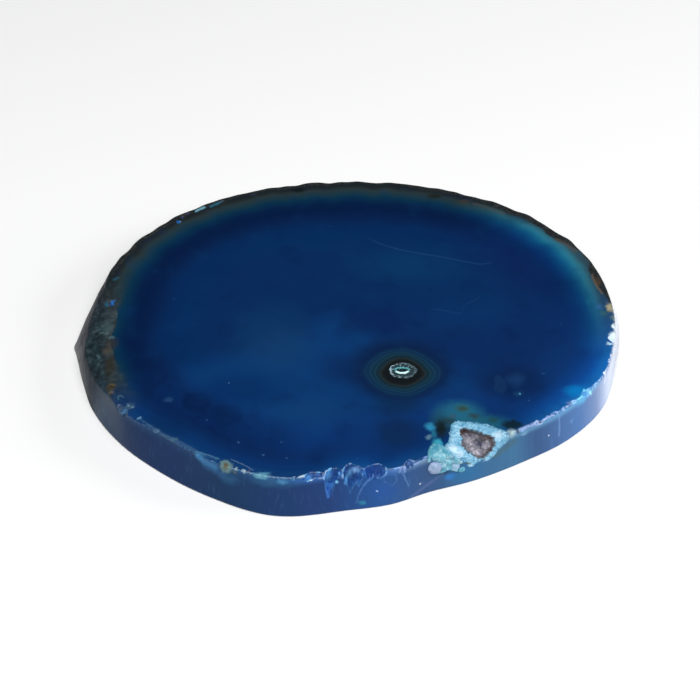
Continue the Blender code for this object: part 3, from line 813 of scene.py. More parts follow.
def new_material(name, value_names=()):
    """A material, its tree and shader, the place in millimetres, and a dictionary of the numbers it reads."""
    material = bpy.data.materials.new(name)
    material.use_nodes = True
    tree = material.node_tree
    scaled = {0: add_node(tree, "TexCoord")["Object"], "Scale": 1.0 / MM}
    place = add_node(tree, "VectorMath", scaled, operation="SCALE")[0]
    value = {key: add_node(tree, "Attribute", attribute_name=key)["Fac"] for key in value_names}
    return material, tree, tree.nodes["Principled BSDF"], place, value


def layered(tree, base, layers):
    """Colours laid over each other: each layer is a colour and the share of it that shows."""
    for colour, share in layers:
        base = add_node(tree, "Mix", {"Factor": share, 6: base, 7: colour}, data_type="RGBA")[2]
    return base


def wandering(tree, place, lump, strength):
    """The place, moved by noise of that size: up to half the strength each way, in millimetres."""
    swirl = add_node(tree, "TexNoise", {"Vector": place, "Scale": 1.0 / lump, "Detail": 4.0})[1]
    centred = add_node(tree, "VectorMath", {0: swirl, 1: (0.5,) * 3}, operation="SUBTRACT")[0]
    return add_node(tree, "VectorMath", {0: centred, 1: (strength,) * 3, 2: place}, operation="MULTIPLY_ADD")[0]


print("white is", linear("FFFFFF")[:3])

# %% [markdown]
# ## Polished blue agate
# Agate is chalcedony, quartz too fine to see, laid down in bands that follow the wall of the hollow it filled.
# The bands took the dye unevenly: a grey-green porous band under the dark skin, a teal one, a ring so dense
# that it looks black, and a wide field of clear blue. The bands are a ramp over the distance in from the rim,
# which the slab's points carry. A ramp differs from front to back, so there are four, laid over each other.

# %% Bands that follow the rim
agate, tree, shader, mm, value = new_material("polished dyed agate", slab_values)
BAND_REACH = 50.0  # millimetres in from the rim that the ramps span
BANDS = {
    "back": [
        (0.0, "1B2124"), (3.2, "1E2528"), (4.6, "252F31"), (5.6, "26363B"), (6.8, "20353E"), (8.2, "173444"),
        (10.0, "092F47"), (12.0, "062747"), (14.0, "051F42"), (17.0, "051B40"), (20.0, "061D44"), (24.0, "07234E"),
        (28.0, "062856"), (34.0, "052A59"), (44.0, "082A59"),
    ],
    "front": [
        (0.0, "12386A"), (2.5, "0D3668"), (4.0, "093164"), (6.0, "0A2F63"), (8.0, "092B5C"), (11.0, "0B2B5D"),
        (14.0, "0A2D62"), (18.0, "0A3168"), (24.0, "0C356D"), (32.0, "0B376B"),
    ],
    "cobalt": [
        (0.0, "1A6AB4"), (2.5, "1560A9"), (4.0, "1053A0"), (6.0, "0E468F"), (8.0, "0D3F84"), (10.0, "0B3978"),
        (14.0, "0C3269"), (20.0, "0C2F63"), (26.0, "0C2A5B"), (40.0, "0A2858"),
    ],
    "cyan_band": [
        (0.0, "33464F"), (2.5, "2C4755"), (3.5, "2F5664"), (5.0, "2D6C80"), (6.5, "24708C"), (8.0, "166183"),
        (10.0, "0B4B79"), (12.0, "083C6D"), (14.0, "073164"), (17.0, "07285A"), (22.0, "092455"), (30.0, "0A2556"),
        (44.0, "082C5B"),
    ],
}
in_reach = add_node(tree, "Math", {0: value["from_rim"], 1: BAND_REACH}, operation="DIVIDE")[0]
face = None
for key, bands in BANDS.items():
    stops = [(distance / BAND_REACH, colour) for distance, colour in bands]
    band_colour = add_node(tree, "ValToRGB", {"Fac": in_reach}, stops=stops)[0]
    face = layered(tree, face, [(band_colour, value[key])]) if face else band_colour
print("ramps:", sorted(BANDS))

# %% [markdown]
# Inside the bands, softer clouds show where the dye went deeper, and near the front rim the dense ring comes back
# as a dark navy. The lighter teal clouds left of the middle and at the back right are painted light: a glow of light
# coming up through the slab and a soft painted reflection. Each cloud is an oval with a soft edge, given by its
# middle, its half widths, its colour, how strongly it shows and where it starts to fade as a share of its half width.
# Noise makes their edges wander.

# %% Clouds and halos
ANY = 40  # half height of a mark that is not bounded downwards
CLOUDS_AND_PAINTED_GLOW = [
    ((-28, -11, 15), (23, 26, ANY), "103A66", 0.45, 0.3),
    ((-24, -17, 15), (15, 16, ANY), "153B66", 0.35, 0.1),
    ((-38, -38, 15), (25, 14, ANY), "042454", 0.6, 0.1),
    ((-3, -27, 15), (12, 14, ANY), "0A2350", 0.6, 0.1),
    ((6, -2, 15), (17, 12, ANY), "0A2450", 0.4, 0.1),
    ((-64, -58, 15), (16, 12, ANY), "06244A", 0.5, 0.1),
    ((22, 31, 15), (30, 15, ANY), "0B3E66", 0.5, 0.0),
    ((-20, 44, 15), (34, 13, ANY), "08335D", 0.2, 0.0),
    ((-12, -50, 15), (22, 10, ANY), "103C6C", 0.4, 0.1),
    ((14, 0, 15), (20, 14, ANY), "0A2252", 0.6, 0.1),
    ((66, -8, 15), (26, 26, ANY), "0A2556", 0.4, 0.1),
    ((19, -28, 15), (23, 21.5, ANY), "0B1F42", 0.9, 0.55),
    ((17, -60, 15), (11, 13, ANY), "0D2345", 0.7, 0.2),
    ((18, -46, 15), (13, 8, ANY), "0C2848", 0.7, 0.2),
    ((59, -35, 15), (18, 13, ANY), "0A2149", 0.75, 0.35),
    ((60.2, -33.6, 15), (4.4, 5.4, 6), "1B3F6C", 0.5, 0.1),
    ((61, -40.5, 15), (2.8, 2.6, 6), "1A4E70", 0.45, 0.0),
    ((54.9, -36, 15), (2.6, 6, ANY), "163660", 0.5, 0.6),
]


def spots(tree, place, base, marks):
    """Ovals laid over a colour: the length of the place less the middle over the half widths, eased at its edge."""
    for middle, half_widths, colour, strength, fade_from in marks:
        offset = add_node(tree, "VectorMath", {0: place, 1: middle}, operation="SUBTRACT")[0]
        offset = add_node(tree, "VectorMath", {0: offset, 1: half_widths}, operation="DIVIDE")[0]
        length = add_node(tree, "VectorMath", {0: offset}, operation="LENGTH")[1]
        fade = {"Value": length, "From Min": fade_from, "From Max": 1.0, "To Min": strength, "To Max": 0.0}
        share = add_node(tree, "MapRange", fade, interpolation_type="SMOOTHSTEP")[0]
        base = layered(tree, base, [(colour, share)])
    return base


wavy = wandering(tree, mm, lump=7.0, strength=5.0)
face = spots(tree, wavy, face, CLOUDS_AND_PAINTED_GLOW)
for name, size, detail, roughness in (
    ("mottle", 11.0, 4.0, 0.5), ("lumps", 5.0, 6.0, 0.62), ("pores", 1.3, 4.0, 0.6), ("wear_lumps", 3.2, 5.0, 0.65),
    ("grains", 0.9, 3.0, 0.7), ("patches", 3.6, 3.0, 0.5), ("polish", 6.0, 5.0, 0.5),
):
    kind = {"Vector": mm, "Scale": 1.0 / size, "Detail": detail, "Roughness": roughness}
    value[name] = add_node(tree, "TexNoise", kind)[0]
# Name, source, where it starts and ends, and the shares there.
for name, source, low, high, least, most in (
    ("lighter", "mottle", 0.52, 0.75, 0.0, 0.22),
    ("deeper", "mottle", 0.48, 0.25, 0.0, 0.3),
    ("past_8", "from_rim", 6.0, 13.0, 0.0, 1.0),
    ("before_28", "from_rim", 31.0, 21.0, 0.0, 1.0),
    ("uneven", "mottle", 0.4, 0.6, 0.6, 1.0),
):
    limits = {"Value": value[source], "From Min": low, "From Max": high, "To Min": least, "To Max": most}
    value[name] = add_node(tree, "MapRange", limits, interpolation_type="SMOOTHSTEP")[0]
for name, first, second in (
    ("ring", "past_8", "before_28"), ("ring", "ring", "dark_ring"), ("ring", "ring", "uneven"),
):
    value[name] = add_node(tree, "Math", {0: value[first], 1: value[second]}, operation="MULTIPLY")[0]
face = layered(tree, face, [
    ("061D45", value["ring"]), ("0A3563", value["lighter"]), ("061C45", value["deeper"]),
])
print(len(CLOUDS_AND_PAINTED_GLOW), "clouds")

# %% [markdown]
# The eye has fine rings round it, like those of a tree. They are a ramp over a distance from its middle that
# makes squarish ovals pulled out left and right: the sum of both offsets to the power of 1.7, rooted again.

# %% Rings round the eye
RINGS_AT, RINGS_HALF, RINGS_POWER = (19.6, -29.3, 15.0), (15.8, 14.6, ANY), 1.7
EYE_RINGS = [
    (0.0, "12171A"), (0.40, "12181B"), (0.46, "191E20"), (0.495, "232A2A"), (0.53, "192A34"), (0.59, "122936"),
    (0.625, "142E3E"), (0.645, "1A3B4C"), (0.665, "122D3E"), (0.72, "113048"), (0.74, "173B54"), (0.76, "102E48"),
    (0.83, "0F2C4A"), (0.85, "143655"), (0.87, "0E2A4A"), (1.0, "0A2146"),
]
little_wavy = wandering(tree, mm, lump=9.0, strength=3.0)
eye_offset = add_node(tree, "VectorMath", {0: little_wavy, 1: RINGS_AT}, operation="SUBTRACT")[0]
eye_offset = add_node(tree, "VectorMath", {0: eye_offset, 1: RINGS_HALF}, operation="DIVIDE")[0]
eye_offset = add_node(tree, "VectorMath", {0: eye_offset}, operation="ABSOLUTE")[0]
both = add_node(tree, "SeparateXYZ", {0: eye_offset})
for name, side in (("x_part", both["X"]), ("y_part", both["Y"])):
    value[name] = add_node(tree, "Math", {0: side, 1: RINGS_POWER}, operation="POWER")[0]
value["eye_way"] = add_node(tree, "Math", {0: value["x_part"], 1: value["y_part"]}, operation="ADD")[0]
value["eye_way"] = add_node(tree, "Math", {0: value["eye_way"], 1: 1.0 / RINGS_POWER}, operation="POWER")[0]
eye_colour = add_node(tree, "ValToRGB", {"Fac": value["eye_way"]}, stops=EYE_RINGS)[0]
fade = {"Value": value["eye_way"], "From Min": 1.12, "From Max": 0.82}
near_eye = add_node(tree, "MapRange", fade, interpolation_type="SMOOTHSTEP")[0]
face = layered(tree, face, [(eye_colour, near_eye)])
print(len(EYE_RINGS), "rings round the eye")

# %% [markdown]
# ## The polished side and the rind
# Down the side the stone is the same blue, with faint upright streaks from the polishing wheel. Towards the right
# the side, its flakes and its edge turn paler and paler, to near white at the right end: that paling is painted light
# from the right. At the left and back the outside of the nodule was left as it was: a dull grey rind, dark where it
# is thick. The colours are ramps over the way round the side, from the back through the left.

# %% Colours of the side and the rind
# Both ramps pale to near white towards the right end: painted light from the right over the stone's blue.
SIDE_MIDDLE_WITH_PAINTED_LIGHT = [
    (206, "143652"), (214, "0E2C54"), (227, "0F2E5A"), (242, "0D3258"), (254, "153664"), (266, "1D3A6E"),
    (278, "225290"), (290, "32517E"), (314, "3C6E95"), (320, "355584"), (332, "4B76AF"), (338, "718CBB"),
    (344, "C5D3F1"), (356, "B7C2D9"), (12, "D8E2EE"), (24, "B4B8BC"),
]
SIDE_TOP_WITH_PAINTED_LIGHT = [
    (206, "1D384A"), (218, "1A3F68"), (242, "113963"), (254, "2A5D93"), (266, "3868B7"), (278, "2869BC"),
    (290, "7797B3"), (314, "6392B5"), (332, "69ACDB"), (344, "87A3D0"), (12, "E0E8F0"),
]
EDGE_PALE_AND_HIGHLIGHT = [
    (204, "3C5268"), (225, "456888"), (240, "5488A4"), (262, "6CB0DC"), (285, "7CA4D8"), (312, "80A2D6"),
    (330, "8CB2E2"), (337, "84C4EC"), (345, "CFE0F2"), (12, "DCE4EA"),
]
for name, bands in (("side", SIDE_MIDDLE_WITH_PAINTED_LIGHT), ("side_top", SIDE_TOP_WITH_PAINTED_LIGHT), ("edge_pale_and_highlight", EDGE_PALE_AND_HIGHLIGHT)):
    stops = [(side_way(degrees), colour) for degrees, colour in bands]
    value[name] = add_node(tree, "ValToRGB", {"Fac": value["side_way"]}, stops=stops)[0]
stretched = add_node(tree, "VectorMath", {0: mm, 1: (1.0, 1.0, 0.08)}, operation="MULTIPLY")[0]
value["streaks"] = add_node(tree, "TexNoise", {"Vector": stretched, "Scale": 1.0 / 1.2, "Detail": 3.0})[0]
for name, source, low, high, least, most in (
    ("below_rim", "from_rim", -0.3, -1.1, 0.0, 1.0),
    ("high", "height", 0.76, 0.96, 0.0, 0.8),
    ("blue_side", "side_way", float(side_way(344)), float(side_way(334)), 0.0, 1.0),
    ("pale_streak", "streaks", 0.55, 0.85, 0.0, 0.1),
    ("dark_streak", "streaks", 0.46, 0.28, 0.0, 0.1),
    ("left_rind", "side_way", float(side_way(150)), float(side_way(172)), 0.0, 1.0),
    ("before_front", "side_way", float(side_way(250)), float(side_way(230)), 0.0, 1.0),
    ("to_polish", "side_way", float(side_way(184)), float(side_way(200)), 0.0, 0.8),
    ("rind_pale", "streaks", 0.5, 0.72, 0.0, 0.35),
    ("rind_dark", "lumps", 0.52, 0.34, 0.0, 0.5),
    ("brown", "pores", 0.55, 0.75, 0.0, 0.5),
    ("in_skin", "skin", -0.5, 0.5, 0.0, 1.0),
    ("on_top", "from_rim", -1.1, -0.3, 0.0, 1.0),
    ("near_rim", "from_rim", 9.6, 7.2, 0.0, 1.0),
    ("over_side", "from_rim", -9.0, -2.0, 0.0, 1.0),
):
    limits = {"Value": value[source], "From Min": low, "From Max": high, "To Min": least, "To Max": most}
    value[name] = add_node(tree, "MapRange", limits, interpolation_type="SMOOTHSTEP")[0]
for name, first, second in (
    ("pale_streak", "pale_streak", "blue_side"), ("dark_streak", "dark_streak", "blue_side"),
    ("left_rind", "left_rind", "before_front"), ("on_rind", "below_rim", "rind"), ("in_skin", "in_skin", "on_top"), ("in_worn", "worn", "near_rim"),
    ("in_worn", "in_worn", "over_side"),
):
    value[name] = add_node(tree, "Math", {0: value[first], 1: value[second]}, operation="MULTIPLY")[0]
for name, source, stops in (
    ("back_rind", "lumps", [
        (0.0, "16181A"), (0.36, "25282A"), (0.46, "3B3D3C"), (0.56, "54575A"), (0.7, "6B6C6B"), (1.0, "807A70"),
    ]),
    ("smooth_rind", "height", [(0.0, "808281"), (0.33, "62646A"), (0.67, "44464E"), (0.92, "2A2A34")]),
    ("skin_colour", "pores", [
        (0.0, "0C1012"), (0.42, "171C1E"), (0.55, "23282A"), (0.66, "30322F"), (1.0, "4C4638"),
    ]),
    ("worn_colour", "wear_lumps", [
        (0.0, "0C1416"), (0.4, "142228"), (0.5, "1E3036"), (0.6, "324248"), (0.75, "4C5658"),
    ]),
):
    value[name] = add_node(tree, "ValToRGB", {"Fac": value[source]}, stops=stops)[0]
side_colour = layered(tree, value["side"], [
    (value["side_top"], value["high"]), ("6C98CC", value["pale_streak"]), ("1B2F52", value["dark_streak"]),
])
left_colour = layered(tree, value["smooth_rind"], [("8A8C94", value["rind_pale"]), ("2E2C34", value["rind_dark"]),
    ("28323E", value["to_polish"])])
rind_colour = layered(tree, value["back_rind"], [("2B221B", value["brown"]), (left_colour, value["left_rind"])])
stone = layered(tree, face, [
    (side_colour, value["below_rim"]), (rind_colour, value["on_rind"]),
    (value["skin_colour"], value["in_skin"]), (value["worn_colour"], value["in_worn"]),
])
print(len(SIDE_MIDDLE_WITH_PAINTED_LIGHT), "colours round the side")

# %% [markdown]
# Fresh flakes along the front edge scatter light and look almost white at their rims, and blue in the middle. Part of
# the white of the rims, on their upper edges, is painted highlight, and so are the glints inside the flakes. Between
# them the arris is a thin pale line of painted highlight.

# %% Colours of the broken edge
for name, source, low, high, least, most in (
    ("in_scar", "scar", 0.35, 0.6, 0.0, 0.85),
    ("upper_scar", "height", 0.72, 0.9, 0.15, 1.0),
    ("upper_part", "height", 0.4, 0.8, 0.3, 1.0),
    ("scar_rim_in", "scar", 0.1, 0.3, 0.0, 1.0),
    ("scar_rim_out", "scar", 0.75, 0.5, 0.0, 1.0),
    ("grainy", "grains", 0.40, 0.58, 0.0, 1.0),
    ("patchy", "patches", 0.48, 0.6, 0.0, 1.0),
    ("scar_glint", "patches", 0.55, 0.7, 0.0, 0.6),
    ("scar_deep", "patches", 0.5, 0.38, 0.0, 0.7),
    ("scar_parts", "grains", 0.38, 0.6, 0.9, 1.0),
    ("on_arris_highlight", "arris_highlight", 0.25, 0.75, 0.0, 0.85),
):
    limits = {"Value": value[source], "From Min": low, "From Max": high, "To Min": least, "To Max": most}
    value[name] = add_node(tree, "MapRange", limits, interpolation_type="SMOOTHSTEP")[0]
for name, first, second in (
    ("scar_rim_and_highlight", "scar_rim_in", "scar_rim_out"), ("scar_rim_and_highlight", "scar_rim_and_highlight", "patchy"),
    ("scar_rim_and_highlight", "scar_rim_and_highlight", "upper_scar"), ("in_scar", "in_scar", "upper_part"),
    ("in_scar", "in_scar", "scar_parts"),
    ("broken", "chipped_edge_and_highlight", "grainy"), ("on_arris_highlight", "on_arris_highlight", "patchy"),
):
    value[name] = add_node(tree, "Math", {0: value[first], 1: value[second]}, operation="MULTIPLY")[0]
SCARS = [
    (204, "2C4058"), (236, "244668"), (254, "1A4488"), (276, "1C468C"), (290, "2C5090"), (312, "446CB0"),
    (335, "4C90CC"), (348, "B4CCE8"), (12, "D0DCE8"),
]
stops = [(side_way(degrees), colour) for degrees, colour in SCARS]
scar_colour = add_node(tree, "ValToRGB", {"Fac": value["side_way"]}, stops=stops)[0]
scar_colour = layered(tree, scar_colour, [("4C94DC", value["scar_glint"]), ("0C2450", value["scar_deep"])])
stone = layered(tree, stone, [
    (scar_colour, value["in_scar"]), (value["edge_pale_and_highlight"], value["scar_rim_and_highlight"]), (value["edge_pale_and_highlight"], value["broken"]),
    (value["edge_pale_and_highlight"], value["on_arris_highlight"]),
])

# %% [markdown]
# ## Small marks
# Round growths by the hollow, the pale ring on the front left edge and the coloured spots of the rim are ovals like
# the clouds. Thin veins, pale cracks and the painted highlights along the edge and on the rims of flakes are strokes:
# lines through a few points with a soft edge. Both are drawn from the photograph, and lie over everything else.

# %% Marks round the crystal hollow
HOLLOW_MARKS = [
    ((39.4, -51, 15), (12, 9.5, ANY), "22647E", 0.85, 0.25),
    ((47.5, -56, 15), (14, 6.5, ANY), "205E6E", 0.7, 0.25),
    ((32.9, -55.5, 15), (6, 8.5, ANY), "1F4A58", 0.75, 0.1),
    ((32.9, -58.4, 15), (3.4, 7.6, ANY), "121C1C", 0.95, 0.15),
    ((36, -54.5, 15), (3, 3, ANY), "262C28", 0.6, 0.1),
    ((28.9, -57.6, 15), (2.6, 2.9, 6), "2C84AC", 0.9, 0.23),
    ((30, -61, 15), (1.6, 3.4, 6), "24748F", 0.7, 0.15),
    ((28.2, -62.6, 15), (1.6, 1.9, 6), "5A7F94", 0.85, 0.2),
    ((31.4, -65.6, 15), (2.6, 3.4, 6), "389EB6", 0.9, 0.2),
    ((40.8, -48, 15), (3.8, 3.2, 6), "2A5E66", 0.8, 0.25),
    ((40.8, -48.2, 15), (3.0, 2.2, 6), "32423A", 0.85, 0.1),
    ((44.4, -52, 15), (3.2, 2.2, 6), "2C3E42", 0.85, 0.1),
    ((37.2, -52, 15), (1.7, 1.5, 6), "40444E", 0.5, 0.1),
    ((51.2, -54.3, 15), (2.6, 2, 6), "1E464E", 0.85, 0.15),
    ((57.8, -56.4, 15), (4.8, 3.1, 6), "0E222E", 0.95, 0.45),
    ((57.3, -60.2, 14.6), (2.3, 2.5, 3), "A9C4C4", 0.85, 0.1),
    ((59.6, -59.6, 14.8), (1.3, 1.3, 2), "3A444C", 0.8, 0.2),
    ((42, -70, 4), (13, 6, 7), "2A6C9C", 0.7, 0.15),
    ((36, -71.9, 4.6), (3.4, 2, 1.9), "2F7ED0", 0.75, 0.05),
    ((33.7, -72.3, 7.2), (4, 2, 2.2), "25324E", 0.6, 0.1),
    ((62, -58.6, 12.6), (2.2, 1.5, 1.2), "7FA8C8", 0.7, 0.15),
]
# The points, the width, the colour and how strongly it shows.
HOLLOW_STROKES = [
    ([(58.6, -60.7, 11.2), (55.3, -62.7, 9.2), (52, -64.6, 7.6)], 1.9, "4A6460", 0.6),
    ([(22.1, -78, 0.6), (28.8, -74.3, 4), (33.7, -72.4, 6.4)], 1.0, "5C6E9C", 0.55),
]


def strokes(tree, place, base, lines):
    """Lines laid over a colour, by the distance to the nearest of their straight runs.

    The place's share of the way along a run is its offset times the run over the run squared, kept from 0 to 1.
    """
    for points, width, colour, strength in lines:
        distance = None
        for start, end in zip(points, points[1:]):
            run = Vector(end) - Vector(start)
            offset = add_node(tree, "VectorMath", {0: place, 1: start}, operation="SUBTRACT")[0]
            share = add_node(tree, "VectorMath", {0: offset, 1: run / run.length_squared}, operation="DOT_PRODUCT")[1]
            share = add_node(tree, "Clamp", {0: share})[0]
            along_run = add_node(tree, "VectorMath", {0: run, "Scale": share}, operation="SCALE")[0]
            length = add_node(tree, "VectorMath", {0: offset, 1: along_run}, operation="DISTANCE")[1]
            if distance is not None:
                length = add_node(tree, "Math", {0: length, 1: distance}, operation="MINIMUM")[0]
            distance = length
        fade = {"Value": distance, "From Min": 0.15 * width, "From Max": 1.1 * width, "To Min": 0.85 * strength, "To Max": 0.0}
        shows = add_node(tree, "MapRange", fade, interpolation_type="SMOOTHSTEP")[0]
        base = layered(tree, base, [(colour, shows)])
    return base


fine_wavy = wandering(tree, mm, lump=1.8, strength=2.4)
finest_wavy = wandering(tree, mm, lump=1.2, strength=1.1)
stone = spots(tree, fine_wavy, stone, HOLLOW_MARKS)
stone = strokes(tree, finest_wavy, stone, HOLLOW_STROKES)
print(len(HOLLOW_MARKS), "marks and", len(HOLLOW_STROKES), "strokes")

# %% [markdown]
# At the left the worn edge shows the rind's inside: dark pits, grey swells, a brown spot and a small bright blue
# one. The front left edge has a pale orb with a grey-green ring, and bands of teal that run along the edge.

# %% Marks at the left and the front left
LEFT_MARKS = [
    ((-40.9, -78.8, 10.5), (8, 3, 3.4), "2A5F88", 0.55, 0),
    ((-26, -82.5, 12.5), (14, 4, 2.6), "2B5A80", 0.6, 0.05),
    ((-29.2, -81, 14.4), (4.4, 2, 1.7), "5F9DB4", 0.9, 0.28),
    ((-22.2, -82.6, 13.4), (2.8, 1.5, 1.5), "4C8CB8", 0.8, 0.1),
    ((-41.9, -76.6, 14.6), (3.1, 3.6, 3), "6F908C", 0.85, 0.35),
    ((-41.9, -76.6, 14.6), (2.1, 2.4, 2.2), "4A6E72", 0.7, 0.25),
    ((-41.9, -76.6, 14.6), (1.3, 1.6, 1.6), "5C4C2C", 0.9, 0.1),
    ((-38.3, -77.8, 14.8), (0.8, 0.8, 0.8), "9FB6BC", 0.8, 0.1),
    ((-38.7, -78.7, 13.8), (1.5, 1.2, 1.2), "5C6A50", 0.7, 0.1),
    ((-35.4, -79.2, 14.6), (1.1, 1.1, 1.1), "9CB8C4", 0.85, 0.15),
    ((-33.7, -79.6, 14.8), (0.8, 0.8, 0.8), "8A8078", 0.7, 0.1),
    ((-66.8, -59.5, 15), (1.5, 1.3, 1.5), "587896", 0.8, 0.25),
    ((-66.8, -59.5, 15), (0.6, 0.5, 1), "2A4A6A", 0.8, 0.15),
    ((-60.6, -63.7, 15), (2, 1.2, 1.5), "4E7480", 0.75, 0.15),
    ((-73.2, -53.3, 14.9), (1.4, 1, 1), "6CA0BE", 0.75, 0.1),
    ((-77.1, -47.2, 15), (2.3, 2.4, 2), "38546C", 0.8, 0.25),
    ((-77.6, -46.4, 15), (0.9, 0.9, 1), "6A8AA0", 0.8, 0.1),
    ((-76.2, -47.6, 15), (0.9, 0.9, 1), "6A8AA0", 0.8, 0.1),
    ((-80.1, -48.9, 14), (1.6, 1.4, 1), "50708C", 0.6, 0.1),
    ((-63.7, -43.8, 15), (2.4, 1.9, 4), "24486E", 0.6, 0.3),
    ((-86, -25.5, 14), (3, 9.5, 5), "17180F", 0.9, 0.17),
    ((-86.6, -13.5, 14.5), (4.2, 4.6, 4), "302E2C", 0.8, 0.15),
    ((-87.5, -17.5, 14.5), (3, 3, 4), "3A342A", 0.8, 0.15),
    ((-89.5, -4.5, 14.5), (4.6, 4.6, 4), "2F4A50", 0.6, 0.1),
    ((-90.9, -2.9, 14.4), (1.6, 1.4, 2), "4E5E62", 0.6, 0.1),
    ((-88.3, -7.8, 14.8), (1.8, 1.2, 2), "4C6468", 0.6, 0.1),
    ((-86.5, -10.2, 15), (1.7, 1.3, 2), "567078", 0.6, 0.1),
    ((-90.2, -28.5, 14), (1.3, 4.5, 2), "0E121C", 0.85, 0.15),
    ((-84.8, -36.6, 14.8), (3.2, 2.6, 3), "463E2A", 0.8, 0.25),
    ((-84.2, -39.6, 14.7), (1.8, 1.2, 1.5), "6E6048", 0.7, 0.15),
    ((-90, 9.2, 14.8), (1.2, 2, 2), "10607C", 0.9, 0.15),
    ((-88.7, 9, 15), (1.2, 1.6, 2), "0C4A98", 0.9, 0.15),
    ((-87.6, 9.6, 15), (1.2, 1.9, 2), "1D6CC0", 0.95, 0.2),
]
LEFT_STROKES = [
    ([(-69.2, -57.1, 15), (-65, -60.9, 15), (-57.7, -65.7, 15), (-52.4, -69.7, 15)], 1.0, "3C5C7E", 0.75),
    ([(-65.5, -61.5, 13.4), (-58.9, -66.8, 14.2), (-52.4, -71, 14.6)], 0.4, "14284A", 0.8),
    ([(-51.8, -71.4, 14.6), (-49.4, -73.4, 13.6), (-45.6, -75.4, 13.2)], 1.8, "3E7CAE", 0.9),
    ([(-49.4, -74, 12.6), (-43, -77.2, 11.6)], 2.2, "2C5F8E", 0.6),
    ([(-52.4, -69.8, 15), (-48.5, -71.4, 15), (-44.3, -73.4, 15)], 0.45, "4E7C9C", 0.8),
    ([(-52, -70.6, 15), (-48.3, -72.2, 15), (-45, -74, 15)], 0.35, "3C6888", 0.7),
    ([(-40.1, -73.6, 15), (-36.3, -75.9, 15), (-32.3, -78.8, 15)], 0.4, "5C7898", 0.7),
    ([(-72.4, -54.2, 15), (-70.8, -55.6, 15), (-69.2, -57, 15)], 0.55, "446A8A", 0.5),
    ([(-81.5, -43.6, 15), (-81.7, -42, 15), (-80.7, -41.4, 15), (-79.9, -42.4, 15)], 0.55, "4C7688", 0.5),
    ([(-87.9, -39.5, 6.4), (-86.6, -41.6, 5.4)], 0.7, "3E6C82", 0.45),
    ([(-84.7, -44.4, 6.2), (-84.4, -45.4, 4.2)], 0.6, "3A6478", 0.4),
    ([(-92.2, -8.2, 14.2), (-90.8, -6.8, 14.5), (-89.2, -7.6, 14.8)], 0.7, "5C7074", 0.6),
    ([(-91.2, -18.9, 14), (-89.6, -21.6, 14.5), (-90.6, -24, 14)], 0.8, "56707C", 0.7),
    ([(-88.6, -28, 14.5), (-88.2, -31, 14.5), (-87.4, -33.4, 14.7)], 0.7, "4A6A80", 0.7),
    ([(-86, -37.4, 14.6), (-84.8, -36.6, 14.8), (-83.5, -37.2, 14.9)], 0.55, "20180E", 0.9),
    ([(-86.2, -36.6, 14.6), (-84.9, -35.3, 14.9), (-83.5, -36.1, 15)], 0.5, "5E5434", 0.8),
    ([(-88.4, 22.2, 15), (-86.9, 23.6, 15)], 0.8, "2A6A88", 0.5),
]
stone = spots(tree, fine_wavy, stone, LEFT_MARKS)
stone = strokes(tree, finest_wavy, stone, LEFT_STROKES)
print(len(LEFT_MARKS), "marks and", len(LEFT_STROKES), "strokes")

# %% [markdown]
# The right end shows a brown edge, pale green and white patches, and a bright blue glow behind a flake, which is
# painted light. Right of the hollow, pale lilac lines run along the edge: small chips with painted highlight on them.

